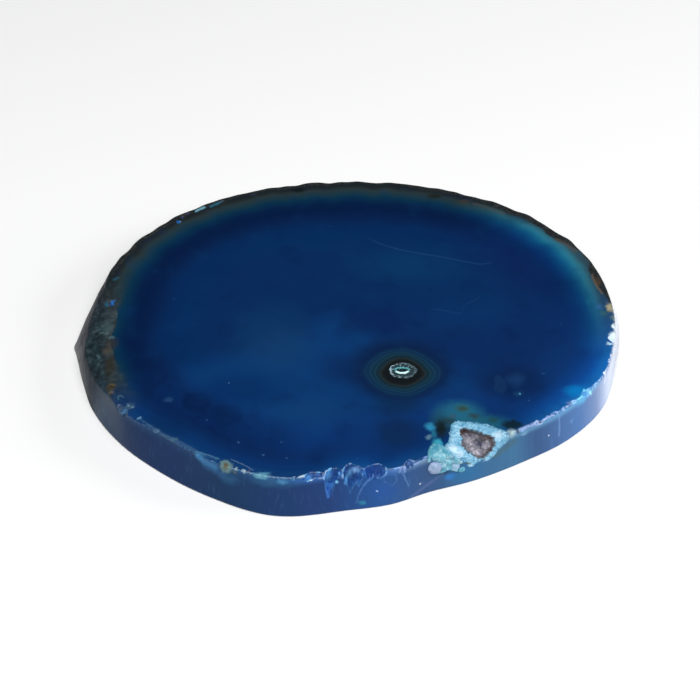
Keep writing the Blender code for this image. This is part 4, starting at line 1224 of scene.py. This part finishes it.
# %% Marks at the right and the back
RIGHT_MARKS = [
    ((94.4, 21.2, 15), (1.8, 4.2, 3), "4C3C2C", 0.7, 0.05),
    ((96.6, 20, 14.8), (1.7, 6.5, 2.5), "20242A", 0.9, 0.25),
    ((97.6, 6.4, 14.8), (1.9, 3.6, 2), "A6A084", 0.9, 0.23),
    ((97, 4.5, 15), (0.8, 1.2, 1.5), "6A6438", 0.6, 0.15),
    ((95.3, 2.9, 15), (2.4, 2.6, 3), "3A6258", 0.5, 0.05),
    ((98.4, 0.4, 14.8), (1.6, 1.8, 2), "6C8478", 0.7, 0.15),
    ((98.3, -4.1, 14.8), (1.9, 1.5, 1.6), "DDF0F2", 0.95, 0.25),
    ((97.6, -8.9, 14.7), (2.5, 2.2, 2), "DAEEF6", 0.95, 0.25),
    ((95.9, -13.7, 14.9), (1.9, 1.1, 1.6), "BFE0F2", 0.9, 0.2),
    ((93.6, 6.9, 15), (1.6, 2, 3), "3A629C", 0.6, 0.05),
    ((90, 10, 15), (2, 4, 3), "1F7A86", 0.2, 0.0),
    ((81.6, -39.2, 15), (6.4, 4.6, 6), "0A74B8", 0.95, 0.1),
    ((83.5, -42.2, 13.2), (4.8, 3.4, 2.4), "5FB4E4", 0.8, 0.1),
    ((86.8, -38.4, 13), (0.9, 0.9, 1.8), "A6ECFF", 0.9, 0.15),
    ((78.8, -45.6, 15), (1.5, 1.4, 1.5), "6C86B0", 0.85, 0.2),
    ((67.6, -54.9, 14.9), (0.9, 0.7, 0.8), "141C40", 0.95, 0.25),
    ((71.3, -53.7, 7.2), (0.6, 0.6, 0.8), "D8E6FF", 0.9, 0.1),
    ((79.8, -46.8, 7.2), (1.2, 1.2, 1.6), "7AA4DC", 0.5, 0.05),
    ((61.3, -40.8, 15), (0.5, 0.6, 2), "5AA6C8", 0.9, 0.1),
    ((64.2, -44.2, 15), (0.7, 0.7, 1), "2E6496", 0.6, 0.1),
    ((70.7, -30, 15), (1.2, 0.8, 2), "2C5A94", 0.4, 0.1),
    ((-66.1, 57.3, 15), (1.3, 1.5, 2), "1E62AC", 0.9, 0.15),
    ((-65.3, 57.6, 15), (0.6, 0.9, 1.5), "5C92B8", 0.8, 0.1),
    ((-64.6, 60.3, 15), (0.9, 1.2, 2), "3A4468", 0.8, 0.1),
    ((-62.8, 62.6, 15), (1.2, 1, 2), "3C3C60", 0.8, 0.1),
    ((-37.1, 74.6, 15), (2, 1.1, 2), "2C3A4C", 0.6, 0.1),
    ((-19.7, 77.8, 15), (4.2, 2.6, 3), "10181E", 0.9, 0.2),
    ((34.4, 73.6, 15), (4.5, 2.4, 3), "1C211C", 0.85, 0.2),
    ((46.2, 70, 15), (4.4, 2.2, 3), "3A3834", 0.7, 0.1),
]
RIGHT_STROKES = [
    ([(80.5, 46.5, 15), (84.5, 43, 15), (87.5, 39.5, 15)], 1.4, "4C4A48", 0.7),
    ([(92.6, 25.2, 15), (93, 22.4, 15), (93.4, 19.9, 15), (94.8, 16.6, 15), (95.4, 14.5, 15)], 0.7, "6E5C44", 0.6),
    ([(80.3, -45.1, 14.8), (83, -42.6, 14.9), (84.8, -40.3, 14.9), (84.4, -38.6, 15)], 0.7, "7FDCF8", 0.95),
    ([(84.8, -40.3, 14.9), (86.8, -38.2, 14.8)], 0.8, "9FEAFF", 0.95),
    ([(92.6, -29.2, 14.8), (92.8, -30.1, 11)], 0.7, "EAF2FF", 0.9),
    ([(60.4, -58.9, 14.9), (62.9, -57.3, 14.8), (65.6, -55.9, 14.8)], 0.85, "8CA4D4", 0.85),
    ([(65.6, -55.7, 15), (66.5, -54.5, 15), (67.2, -55.5, 14.8)], 0.5, "B0C4EA", 0.85),
    ([(66.2, -56, 14.4), (67.9, -55, 14), (69, -54.6, 14.2)], 0.5, "B0C2E8", 0.8),
    ([(68.5, -54.5, 14.8), (70.2, -53, 14.8), (72.1, -51.7, 14.8), (74.2, -50.4, 14.8)], 0.55, "98B0DE", 0.85),
    ([(70, -53, 15), (70.3, -52, 15)], 0.4, "98B0DE", 0.8),
    ([(72.1, -51.6, 15), (72, -50.6, 15)], 0.4, "98B0DE", 0.8),
    ([(76.4, -48.7, 14.8), (77.9, -47, 14.9)], 0.7, "A8BCE4", 0.85),
    ([(74.8, -50.2, 13.5), (75.1, -50.6, 8.8), (75.3, -51.3, 4.6)], 0.7, "7FA6DC", 0.4),
    ([(-59.4, 64.2, 15), (-57.9, 65.4, 15), (-56.4, 66.5, 15)], 0.95, "7CBBD0", 0.8),
    ([(-53.9, 67.1, 15), (-51.9, 68.5, 15), (-50.6, 69.4, 15)], 0.95, "2A708C", 0.75),
    ([(-50.5, 70, 15), (-49.4, 70.7, 15)], 0.45, "4A6A80", 0.8),
    ([(49.5, 68.9, 15), (53.9, 67, 15), (58, 64.6, 15), (61, 62.6, 15)], 1.2, "4A4C4A", 0.5),
]
stone = spots(tree, fine_wavy, stone, RIGHT_MARKS)
stone = strokes(tree, finest_wavy, stone, RIGHT_STROKES)
print(len(RIGHT_MARKS), "marks and", len(RIGHT_STROKES), "strokes")

# %% [markdown]
# In the middle of the front edge the flakes are largest. Their rims catch the light, and the thin pale lines and bright
# spots drawn here, some of which run down the side, are painted highlight over the flakes' own blue.

# %% Marks at the middle of the front edge
FRONT_MARKS = [
    ((12, -80, 6), (8, 3, 5), "24529C", 0.55, 0.15),
    ((-6.3, -82.2, 10), (1.7, 2, 5), "2A5CB0", 0.75, 0.15),
    ((-4.3, -81.1, 11.4), (1.5, 1.2, 0.9), "7CC8F4", 0.95, 0.15),
    ((-4.2, -79.8, 13.6), (1.8, 1.4, 1.6), "152F66", 0.8, 0.15),
    ((8.6, -77.6, 12.8), (4.4, 3.0, 3.0), "12387E", 0.85, 0.3),
    ((-6.8, -79.4, 13), (2.2, 2.8, 2.6), "5C9CD8", 0.7, 0.0),
    ((2.8, -77, 13.4), (3.0, 2.4, 1.6), "84B4E4", 0.7, 0.0),
    ((0.6, -78.2, 12.2), (1.5, 3.0, 2.2), "6CA8E0", 0.7, 0.0),
    ((-0.6, -79, 10.6), (1.4, 2.6, 1.8), "5CA4E4", 0.7, 0.0),
    ((20.8, -76.6, 14.4), (1.2, 1.2, 1), "3A7C96", 0.7, 0.15),
    ((5.2, -82.5, 2.4), (2.4, 1.2, 1), "2F7E9C", 0.8, 0.15),
    ((10.2, -80.7, 6.6), (0.55, 0.55, 0.55), "C4DCFF", 0.9, 0.1),
    ((25.2, -75.8, 5), (0.6, 0.6, 0.6), "CFE0F4", 0.9, 0.1),
    ((-28.9, -71.6, 15), (0.6, 0.6, 1), "3E6A98", 0.6, 0.1),
    ((-20.9, -73.2, 15), (0.6, 0.6, 1), "3E6A98", 0.6, 0.1),
    ((-38.2, -65.4, 15), (0.6, 0.6, 1), "3E6A98", 0.6, 0.1),
    ((-49.4, -54.2, 15), (0.6, 0.6, 1), "3E6A98", 0.6, 0.1),
    ((-23.3, -64.9, 15), (0.6, 0.6, 1), "3E6A98", 0.6, 0.1),
]
FRONT_STROKES = [
    ([(-16.5, -82.2, 15), (-14.9, -81.6, 15), (-13.3, -82.3, 14.2), (-12.2, -82.3, 13.6)], 0.58, "BFD4E0", 0.95),
    ([(-11.8, -82.1, 14.2), (-10.3, -81.7, 14.8), (-9.7, -81.8, 13.9), (-8, -81.5, 13.6)], 0.52, "8FA4C0", 0.85),
    ([(-8, -81.5, 13.4), (-7.2, -79.6, 14.9), (-6, -78.8, 15)], 0.69, "9CC6F0", 0.95),
    ([(-7.5, -81, 14), (-7.3, -82.2, 10.2), (-6.6, -83.3, 6.2)], 0.81, "3F78C8", 0.8),
    ([(-1.4, -79.9, 13), (0.9, -79.2, 14.8), (2.6, -77.8, 15), (4, -78.2, 14.9)], 1.04, "A4C8EE", 0.9),
    ([(-0.6, -80.1, 12.4), (3.1, -80, 12.4), (4.2, -78.6, 14.2)], 0.69, "86A8DC", 0.8),
    ([(0.6, -80, 12.4), (0.8, -80.9, 9.6)], 0.69, "7FB4EE", 0.85),
    ([(4.7, -79.9, 12.2), (4.2, -80.6, 10)], 0.58, "6A94D0", 0.8),
    ([(4.3, -78, 15), (7.7, -78.2, 15), (11.1, -78.8, 14.8)], 0.4, "5C7CBC", 0.7),
    ([(5.6, -80.7, 9), (7.8, -79.8, 11.6), (10.5, -79, 13.6), (17.6, -77.7, 14.7)], 0.63, "5A88CC", 0.7),
    ([(18, -77.8, 13.2), (18.4, -77.4, 14.8), (19.4, -77, 14.9), (19.8, -77.2, 12.6)], 0.58, "88A0D4", 0.8),
    ([(18.8, -77.6, 12.8), (19.9, -77.6, 9.8), (21.1, -77.6, 6)], 0.4, "5F86C0", 0.7),
    ([(20, -76.9, 14.2), (23.3, -75.2, 14.2), (26.9, -73.2, 14.2)], 0.58, "8CA8DC", 0.85),
    ([(5.4, -80.8, 8.8), (3.7, -81.9, 5.4), (3.2, -82.7, 2.8)], 0.46, "5A88C4", 0.7),
    ([(12.4, -78.5, 14), (12.6, -79.5, 10.2), (15.4, -79.3, 7.8), (17, -78.6, 9.8), (16.1, -78.3, 12.6)], 0.4, "4A74B4", 0.5),
]
stone = spots(tree, fine_wavy, stone, FRONT_MARKS)
stone = strokes(tree, finest_wavy, stone, FRONT_STROKES)
print(len(FRONT_MARKS), "marks and", len(FRONT_STROKES), "strokes")

# %% [markdown]
# Two healed cracks show in the face as hair-thin pale lines. Each is a curve of Y over X, drawn with a curve
# node, and the line shows where a point is within a tenth of a millimetre or two of it.

# %% Healed cracks and specks
# From X to X, from Y to Y, the line's points as shares of both, half width, colour and strength.
CRACKS = [
    ((6, 56), (30, 50), [
        (0.0, 0.96), (0.115, 0.72), (0.23, 0.57), (0.4, 0.42), (0.59, 0.3), (0.75, 0.18), (0.91, 0.085),
        (0.96, 0.12), (1.0, 0.21),
    ], 0.45, "2A557F", 0.35),
    ((31, 50), (2, 14), [
        (0.0, 0.3), (0.3, 0.2), (0.56, 0.09), (0.62, 0.3), (0.7, 0.52), (0.85, 0.7), (1.0, 0.9),
    ], 0.4, "264F7C", 0.3),
]
flat = add_node(tree, "SeparateXYZ", {0: mm})
for (x_from, x_to), (y_from, y_to), line, half_width, colour, strength in CRACKS:
    share = add_node(tree, "MapRange", {"Value": flat["X"], "From Min": x_from, "From Max": x_to})[0]
    y_share = add_node(tree, "FloatCurve", {"Value": share}, curve=line)[0]
    y_line = add_node(tree, "MapRange", {"Value": y_share, "To Min": y_from, "To Max": y_to})[0]
    apart_by = add_node(tree, "Math", {0: flat["Y"], 1: y_line}, operation="SUBTRACT")[0]
    apart_by = add_node(tree, "Math", {0: apart_by}, operation="ABSOLUTE")[0]
    starts = add_node(tree, "MapRange", {"Value": share, "From Max": 0.1}, interpolation_type="SMOOTHSTEP")[0]
    ends = {"Value": share, "From Min": 0.95, "To Min": 1.0, "To Max": 0.0}
    ends = add_node(tree, "MapRange", ends, interpolation_type="SMOOTHSTEP")[0]
    fade = {"Value": apart_by, "From Max": half_width, "To Min": strength, "To Max": 0.0}
    shows = add_node(tree, "MapRange", fade, interpolation_type="SMOOTHSTEP")[0]
    shows = add_node(tree, "Math", {0: shows, 1: starts}, operation="MULTIPLY")[0]
    shows = add_node(tree, "Math", {0: shows, 1: ends}, operation="MULTIPLY")[0]
    stone = layered(tree, stone, [(colour, shows)])
value["to_speck"] = add_node(tree, "TexVoronoi", {"Vector": mm, "Scale": 1.0 / 9.0})[0]
for name, source, low, high, least, most in (
    ("rare", "mottle", 0.5, 0.62, 0.0, 1.0), ("speck", "to_speck", 0.045, 0.02, 0.0, 0.7),
):
    limits = {"Value": value[source], "From Min": low, "From Max": high, "To Min": least, "To Max": most}
    value[name] = add_node(tree, "MapRange", limits, interpolation_type="SMOOTHSTEP")[0]
specks = add_node(tree, "Math", {0: value["rare"], 1: value["speck"]}, operation="MULTIPLY")[0]
stone = layered(tree, stone, [("4E7FA4", specks)])
print(len(CRACKS), "cracks")

# %% [markdown]
# The polish is glassy but not perfect: fine wear makes it a little rougher in places. The rind has no gloss at
# all, and fresh flakes glint. The photograph shows no mirrored floor on the side, so its mirroring is weakened.
# Bump adds what is too fine for the grid.

# %% Gloss and fine relief of the agate
for name, operation, first, second in (
    ("half_skin", "MULTIPLY", value["in_skin"], 0.5),
    ("dull", "MAXIMUM", value["on_rind"], value["in_worn"]),
    ("flaked", "MAXIMUM", value["scar_rim_and_highlight"], value["broken"]),
    ("pored", "MULTIPLY", value["on_rind"], 0.8),
    ("grained", "MULTIPLY", value["scar"], 0.1),
):
    value[name] = add_node(tree, "Math", {0: first, 1: second}, operation=operation)[0]
value["dull"] = add_node(tree, "Math", {0: value["dull"], 1: value["half_skin"]}, operation="MAXIMUM")[0]
value["flaked"] = add_node(tree, "Math", {0: value["flaked"], 1: value["in_scar"]}, operation="MAXIMUM")[0]
value["matt"] = add_node(tree, "Math", {0: value["flaked"], 1: value["below_rim"]}, operation="MAXIMUM")[0]
gloss = add_node(tree, "MapRange", {"Value": value["polish"], "To Min": 0.10, "To Max": 0.2})[0]
gloss = add_node(tree, "Mix", {"Factor": value["dull"], "A": gloss, "B": 0.75})[0]
gloss = add_node(tree, "Mix", {"Factor": value["flaked"], "A": gloss, "B": 0.45})[0]
mirrors = add_node(tree, "MapRange", {"Value": value["matt"], "To Min": 0.5, "To Max": 0.1})[0]
relief = add_node(tree, "Bump", {"Height": value["pores"], "Strength": value["pored"], "Distance": 0.6 * MM})[0]
relief = add_node(tree, "Bump", {
    "Height": value["grains"], "Strength": value["grained"], "Distance": 0.4 * MM, "Normal": relief,
})[0]
for socket_name, source in (
    ("Base Color", stone), ("Roughness", gloss), ("Specular IOR Level", mirrors), ("Normal", relief),
):
    tree.links.new(source, shader.inputs[socket_name])
shader.inputs["IOR"].default_value = 1.54  # quartz
slab.data.materials.append(agate)
print(len(tree.nodes), "nodes in", agate.name)

# %% [markdown]
# ## Quartz
# The crystals are clear, but the many small faces make them look frosted: pale blue in the lip, lilac grey in the
# bowl, with brown round its rim, where iron stained it. The grooves between the crystals and a navy spot at the
# bottom of the bowl are darkened with painted shade. Marks are placed by how far along and across the edge they
# are, which the crust's points carry.

# %% Quartz of the hollow
quartz, tree, shader, mm, value = new_material("druse of quartz crystals", crust_values)
BOWL_MARKS = [
    ((5.4, 1.2, 0), (2.2, 2.2, 1), "6A4A3C", 0.6, 0.1),
    ((-2, 7, 0), (2.6, 2.6, 1), "5E2A1A", 0.85, 0.2),
    # painted shade at the bottom of the bowl
    ((3.4, -0.8, 0), (2.0, 3.2, 1), "242C50", 0.85, 0.1),
]
LIP_MARKS = [
    ((-9, 0.4, 0), (2.8, 3.0, 1), "D0E6F4", 0.7, 0.1),
    ((-7, -2.4, 0), (2.6, 2.8, 1), "D0E6F4", 0.6, 0.1),
    ((8.6, 1, 0), (2.6, 2.6, 1), "D8ECF8", 0.6, 0.1),
    ((2, -8.6, 0), (4, 4, 1), "6FA6C4", 0.5, 0.2),
    ((-5.2, -7.4, 0), (3.2, 1.2, 1), "1E3F42", 0.9, 0.3),
    ((-3.2, -9.6, 0), (2.6, 1.4, 1), "D4F6FF", 0.9, 0.4),
]
flat = add_node(tree, "CombineXYZ", {"X": value["along"], "Y": value["across"]})[0]
outward = add_node(tree, "VectorMath", {0: flat}, operation="NORMALIZE")[0]
flat = wandering(tree, flat, lump=1.2, strength=1.2)
value["rays"] = add_node(tree, "TexNoise", {"Vector": outward, "Scale": 6.0, "Detail": 3.0})[0]
value["broad"] = add_node(tree, "TexNoise", {"Vector": mm, "Scale": 1.0 / 2.4, "Detail": 4.0})[0]
cells = add_node(tree, "TexVoronoi", {"Vector": mm, "Scale": 1.0 / 0.7})
value["cell"] = add_node(tree, "SeparateColor", {0: cells["Color"]})[0]
value["tone"] = add_node(tree, "Mix", {"Factor": 0.72, "A": value["cell"], "B": value["broad"]})[0]
for name, source, low, high, least, most in (
    ("groove_shade", "grown", 0.35, 0.0, 0.0, 0.35),
    ("dark_ray", "rays", 0.50, 0.36, 0.0, 0.5),
    ("pale_ray", "rays", 0.55, 0.7, 0.0, 0.5),
    ("bowl_rim", "share_out", 0.86, 0.97, 0.0, 0.8),
    ("on_lip", "share_out", 0.97, 1.05, 0.0, 1.0),
    ("outermost", "share_out", 1.6, 2.0, 0.0, 0.6),
    ("lip_groove_shade", "grown", 0.10, 0.0, 0.0, 0.35),
):
    limits = {"Value": value[source], "From Min": low, "From Max": high, "To Min": least, "To Max": most}
    value[name] = add_node(tree, "MapRange", limits, interpolation_type="SMOOTHSTEP")[0]
bowl_ramp = [(0.25, "787884"), (0.5, "9C9AA6"), (0.75, "CCC8D2")]
bowl_colour = add_node(tree, "ValToRGB", {"Fac": value["tone"]}, stops=bowl_ramp)[0]
bowl_colour = layered(tree, bowl_colour, [
    ("3A4050", value["groove_shade"]), ("4A4650", value["dark_ray"]), ("E4E0EC", value["pale_ray"]),
    ("3E2C28", value["bowl_rim"]),
])
bowl_colour = spots(tree, flat, bowl_colour, BOWL_MARKS)
lip_ramp = [(0.25, "4F8FB4"), (0.42, "6CAACB"), (0.58, "86BEDA"), (0.75, "B4DCEE")]
lip_colour = add_node(tree, "ValToRGB", {"Fac": value["tone"]}, stops=lip_ramp)[0]
lip_colour = layered(tree, lip_colour, [("4F90B4", value["lip_groove_shade"]), ("33708E", value["outermost"])])
lip_colour = spots(tree, flat, lip_colour, LIP_MARKS)
quartz_colour = layered(tree, bowl_colour, [(lip_colour, value["on_lip"])])
frosted = add_node(tree, "MapRange", {"Value": value["cell"], "To Min": 0.18, "To Max": 0.5})[0]
tree.links.new(quartz_colour, shader.inputs["Base Color"])
tree.links.new(frosted, shader.inputs["Roughness"])
shader.inputs["IOR"].default_value = 1.54
crust.data.materials.append(quartz)
print(len(tree.nodes), "nodes in", quartz.name)

# %% [markdown]
# The eye's quartz alternates between pale and dark bands, broken here and there. Round its slot a cyan crescent,
# brightest on the near side, is painted glow where light comes through the wall.

# %% Quartz of the eye
eye_quartz, tree, shader, mm, value = new_material("banded quartz of the eye", eye_values)
value["half_out"] = add_node(tree, "Math", {0: value["share_out"], 1: 2.0}, operation="DIVIDE")[0]
value["broken"] = add_node(tree, "TexNoise", {"Vector": mm, "Scale": 1.0 / 0.9, "Detail": 3.0})[0]
value["rightward"] = add_node(tree, "SeparateXYZ", {0: mm})["X"]
for name, source, low, high, least, most in (
    ("dim_right", "rightward", 17.0, 23.0, 0.0, 0.75),
    ("gap", "broken", 0.46, 0.6, 0.0, 0.9), ("past_slot", "share_out", 1.1, 1.25, 0.0, 1.0),
    ("sparkle", "broken", 0.46, 0.36, 0.0, 0.9), ("back_side", "frontward", 0.5, -0.6, 0.25, 1.0),
    ("before_end", "share_out", 1.95, 1.85, 0.0, 1.0),
    ("front_side", "frontward", 0.2, 0.8, 0.0, 0.95), ("lit_from", "share_out", 0.92, 1.02, 0.0, 1.0),
    ("lit_to", "share_out", 1.3, 1.18, 0.0, 1.0),
):
    limits = {"Value": value[source], "From Min": low, "From Max": high, "To Min": least, "To Max": most}
    value[name] = add_node(tree, "MapRange", limits, interpolation_type="SMOOTHSTEP")[0]
for name, first, second in (
    ("gap", "gap", "past_slot"), ("dim_right", "dim_right", "past_slot"), ("sparkle", "sparkle", "back_side"), ("sparkle", "sparkle", "past_slot"),
    ("sparkle", "sparkle", "before_end"), ("painted_glow", "front_side", "lit_from"), ("painted_glow", "painted_glow", "lit_to"),
):
    value[name] = add_node(tree, "Math", {0: value[first], 1: value[second]}, operation="MULTIPLY")[0]
bands = add_node(tree, "ValToRGB", {"Fac": value["half_out"]}, stops=[
    (0.0, "081418"), (0.35, "0C2830"), (0.45, "2F7F88"), (0.5, "6FC0C4"), (0.56, "3A6E78"), (0.64, "1C3A44"),
    (0.76, "22383F"), (0.84, "526870"), (0.92, "9CB0BC"), (0.965, "7C909C"), (0.985, "2A3438"), (1.0, "12181B"),
])[0]
bands = layered(tree, bands, [
    ("22333A", value["gap"]), ("A8C8D6", value["sparkle"]), ("2A3A40", value["dim_right"]),
    ("D6FAFA", value["painted_glow"]),
])
tree.links.new(bands, shader.inputs["Base Color"])
shader.inputs["Roughness"].default_value = 0.25
shader.inputs["IOR"].default_value = 1.54
eye.data.materials.append(eye_quartz)
print(len(tree.nodes), "nodes in", eye_quartz.name)

# %% [markdown]
# The beads are chalcedony that hardly took the dye, so they run from cyan through sea green to a pale lilac
# grey. Their skin is finely grained, and the grooves between them are darkened with painted shade.

# %% Chalcedony of the beads
chalcedony, tree, shader, mm, value = new_material("beads of chalcedony", patch_values)
value["fine"] = add_node(tree, "TexNoise", {"Vector": mm, "Scale": 1.0 / 1.6, "Detail": 4.0, "Roughness": 0.6})[0]
for name, source, low, high, least, most in (
    ("groove_shade", "stands", 0.7, 0.1, 0.0, 0.5), ("pale", "fine", 0.5, 0.7, 0.0, 0.5),
    ("deep", "fine", 0.45, 0.28, 0.0, 0.5),
):
    limits = {"Value": value[source], "From Min": low, "From Max": high, "To Min": least, "To Max": most}
    value[name] = add_node(tree, "MapRange", limits, interpolation_type="SMOOTHSTEP")[0]
bead_colour = add_node(tree, "ValToRGB", {"Fac": value["tone"]}, stops=[
    (0.0, "2A86A6"), (0.3, "4696B0"), (0.5, "6CACC0"), (0.7, "8DB0CC"), (1.0, "8C98BC"),
])[0]
bead_colour = layered(tree, bead_colour, [
    ("3A7C94", value["groove_shade"]), ("D8F2F2", value["pale"]), ("4A8298", value["deep"]),
])
grain = add_node(tree, "Bump", {"Height": value["fine"], "Strength": 0.3, "Distance": 0.3 * MM})[0]
tree.links.new(bead_colour, shader.inputs["Base Color"])
tree.links.new(grain, shader.inputs["Normal"])
shader.inputs["Roughness"].default_value = 0.45
shader.inputs["IOR"].default_value = 1.54
beads.data.materials.append(chalcedony)
print(len(tree.nodes), "nodes in", chalcedony.name)

# %% [markdown]
# ## Fix the pieces to the solids
# Nothing moves on a stone, so every piece rides on the one body. Each dressed piece stands for its solid, and
# the beads ride along, as their solid is part of the slab.

# %% Ride and replace
for piece, node, slot_name in (
    (slab, "agate_slab", "agate"),
    (crust, "quartz_crust", "quartz"),
    (eye, "eye_crust", "eye_quartz"),
):
    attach(piece, "root")
    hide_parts(node)
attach(beads, "root")

# %% [markdown]
# ## Floor and light
# The slab lies on a plain white floor. One large soft light hangs above and in front, and a second stands at the
# right, so that the right end is the brightest, as in the photograph. Nothing bright stands where the polished
# face would mirror it, which is behind and above: that keeps the blue deep.

# %% Floor, lights and surroundings
FLOOR_HALF = 4.0
floor_mesh = bpy.data.meshes.new("floor")
corners = [(-FLOOR_HALF, -FLOOR_HALF), (FLOOR_HALF, -FLOOR_HALF), (FLOOR_HALF, FLOOR_HALF), (-FLOOR_HALF, FLOOR_HALF)]
floor_mesh.from_pydata([(a, b, -0.0001) for a, b in corners], [], [(0, 1, 2, 3)])
floor = bpy.data.objects.new("floor", floor_mesh)
bpy.context.scene.collection.objects.link(floor)
paper, tree, shader, _, _ = new_material("white paper")
shader.inputs["Base Color"].default_value = linear("F8F8F8")
shader.inputs["Roughness"].default_value = 0.9
floor_mesh.materials.append(paper)


def add_light(name, place, side, power):
    """A square white lamp of that side in metres, facing the slab."""
    lamp = bpy.data.lights.new(name, "AREA")
    lamp.size = side
    lamp.energy = power
    made = bpy.data.objects.new(name, lamp)
    made.location = place
    made.rotation_mode = "QUATERNION"
    made.rotation_quaternion = (-Vector(place)).to_track_quat("-Z", "Y")
    bpy.context.scene.collection.objects.link(made)


add_light("overhead", (0.0, -0.7, 1.5), 1.6, 37.0)
add_light("from the right", (1.3, 0.1, 0.55), 0.7, 8.0)
world = bpy.data.worlds.new("studio")
world.use_nodes = True
world.node_tree.nodes["Background"].inputs["Color"].default_value = linear("C8D4E4")
world.node_tree.nodes["Background"].inputs["Strength"].default_value = 0.02
bpy.context.scene.world = world
bpy.context.scene.view_settings.view_transform = "Standard"
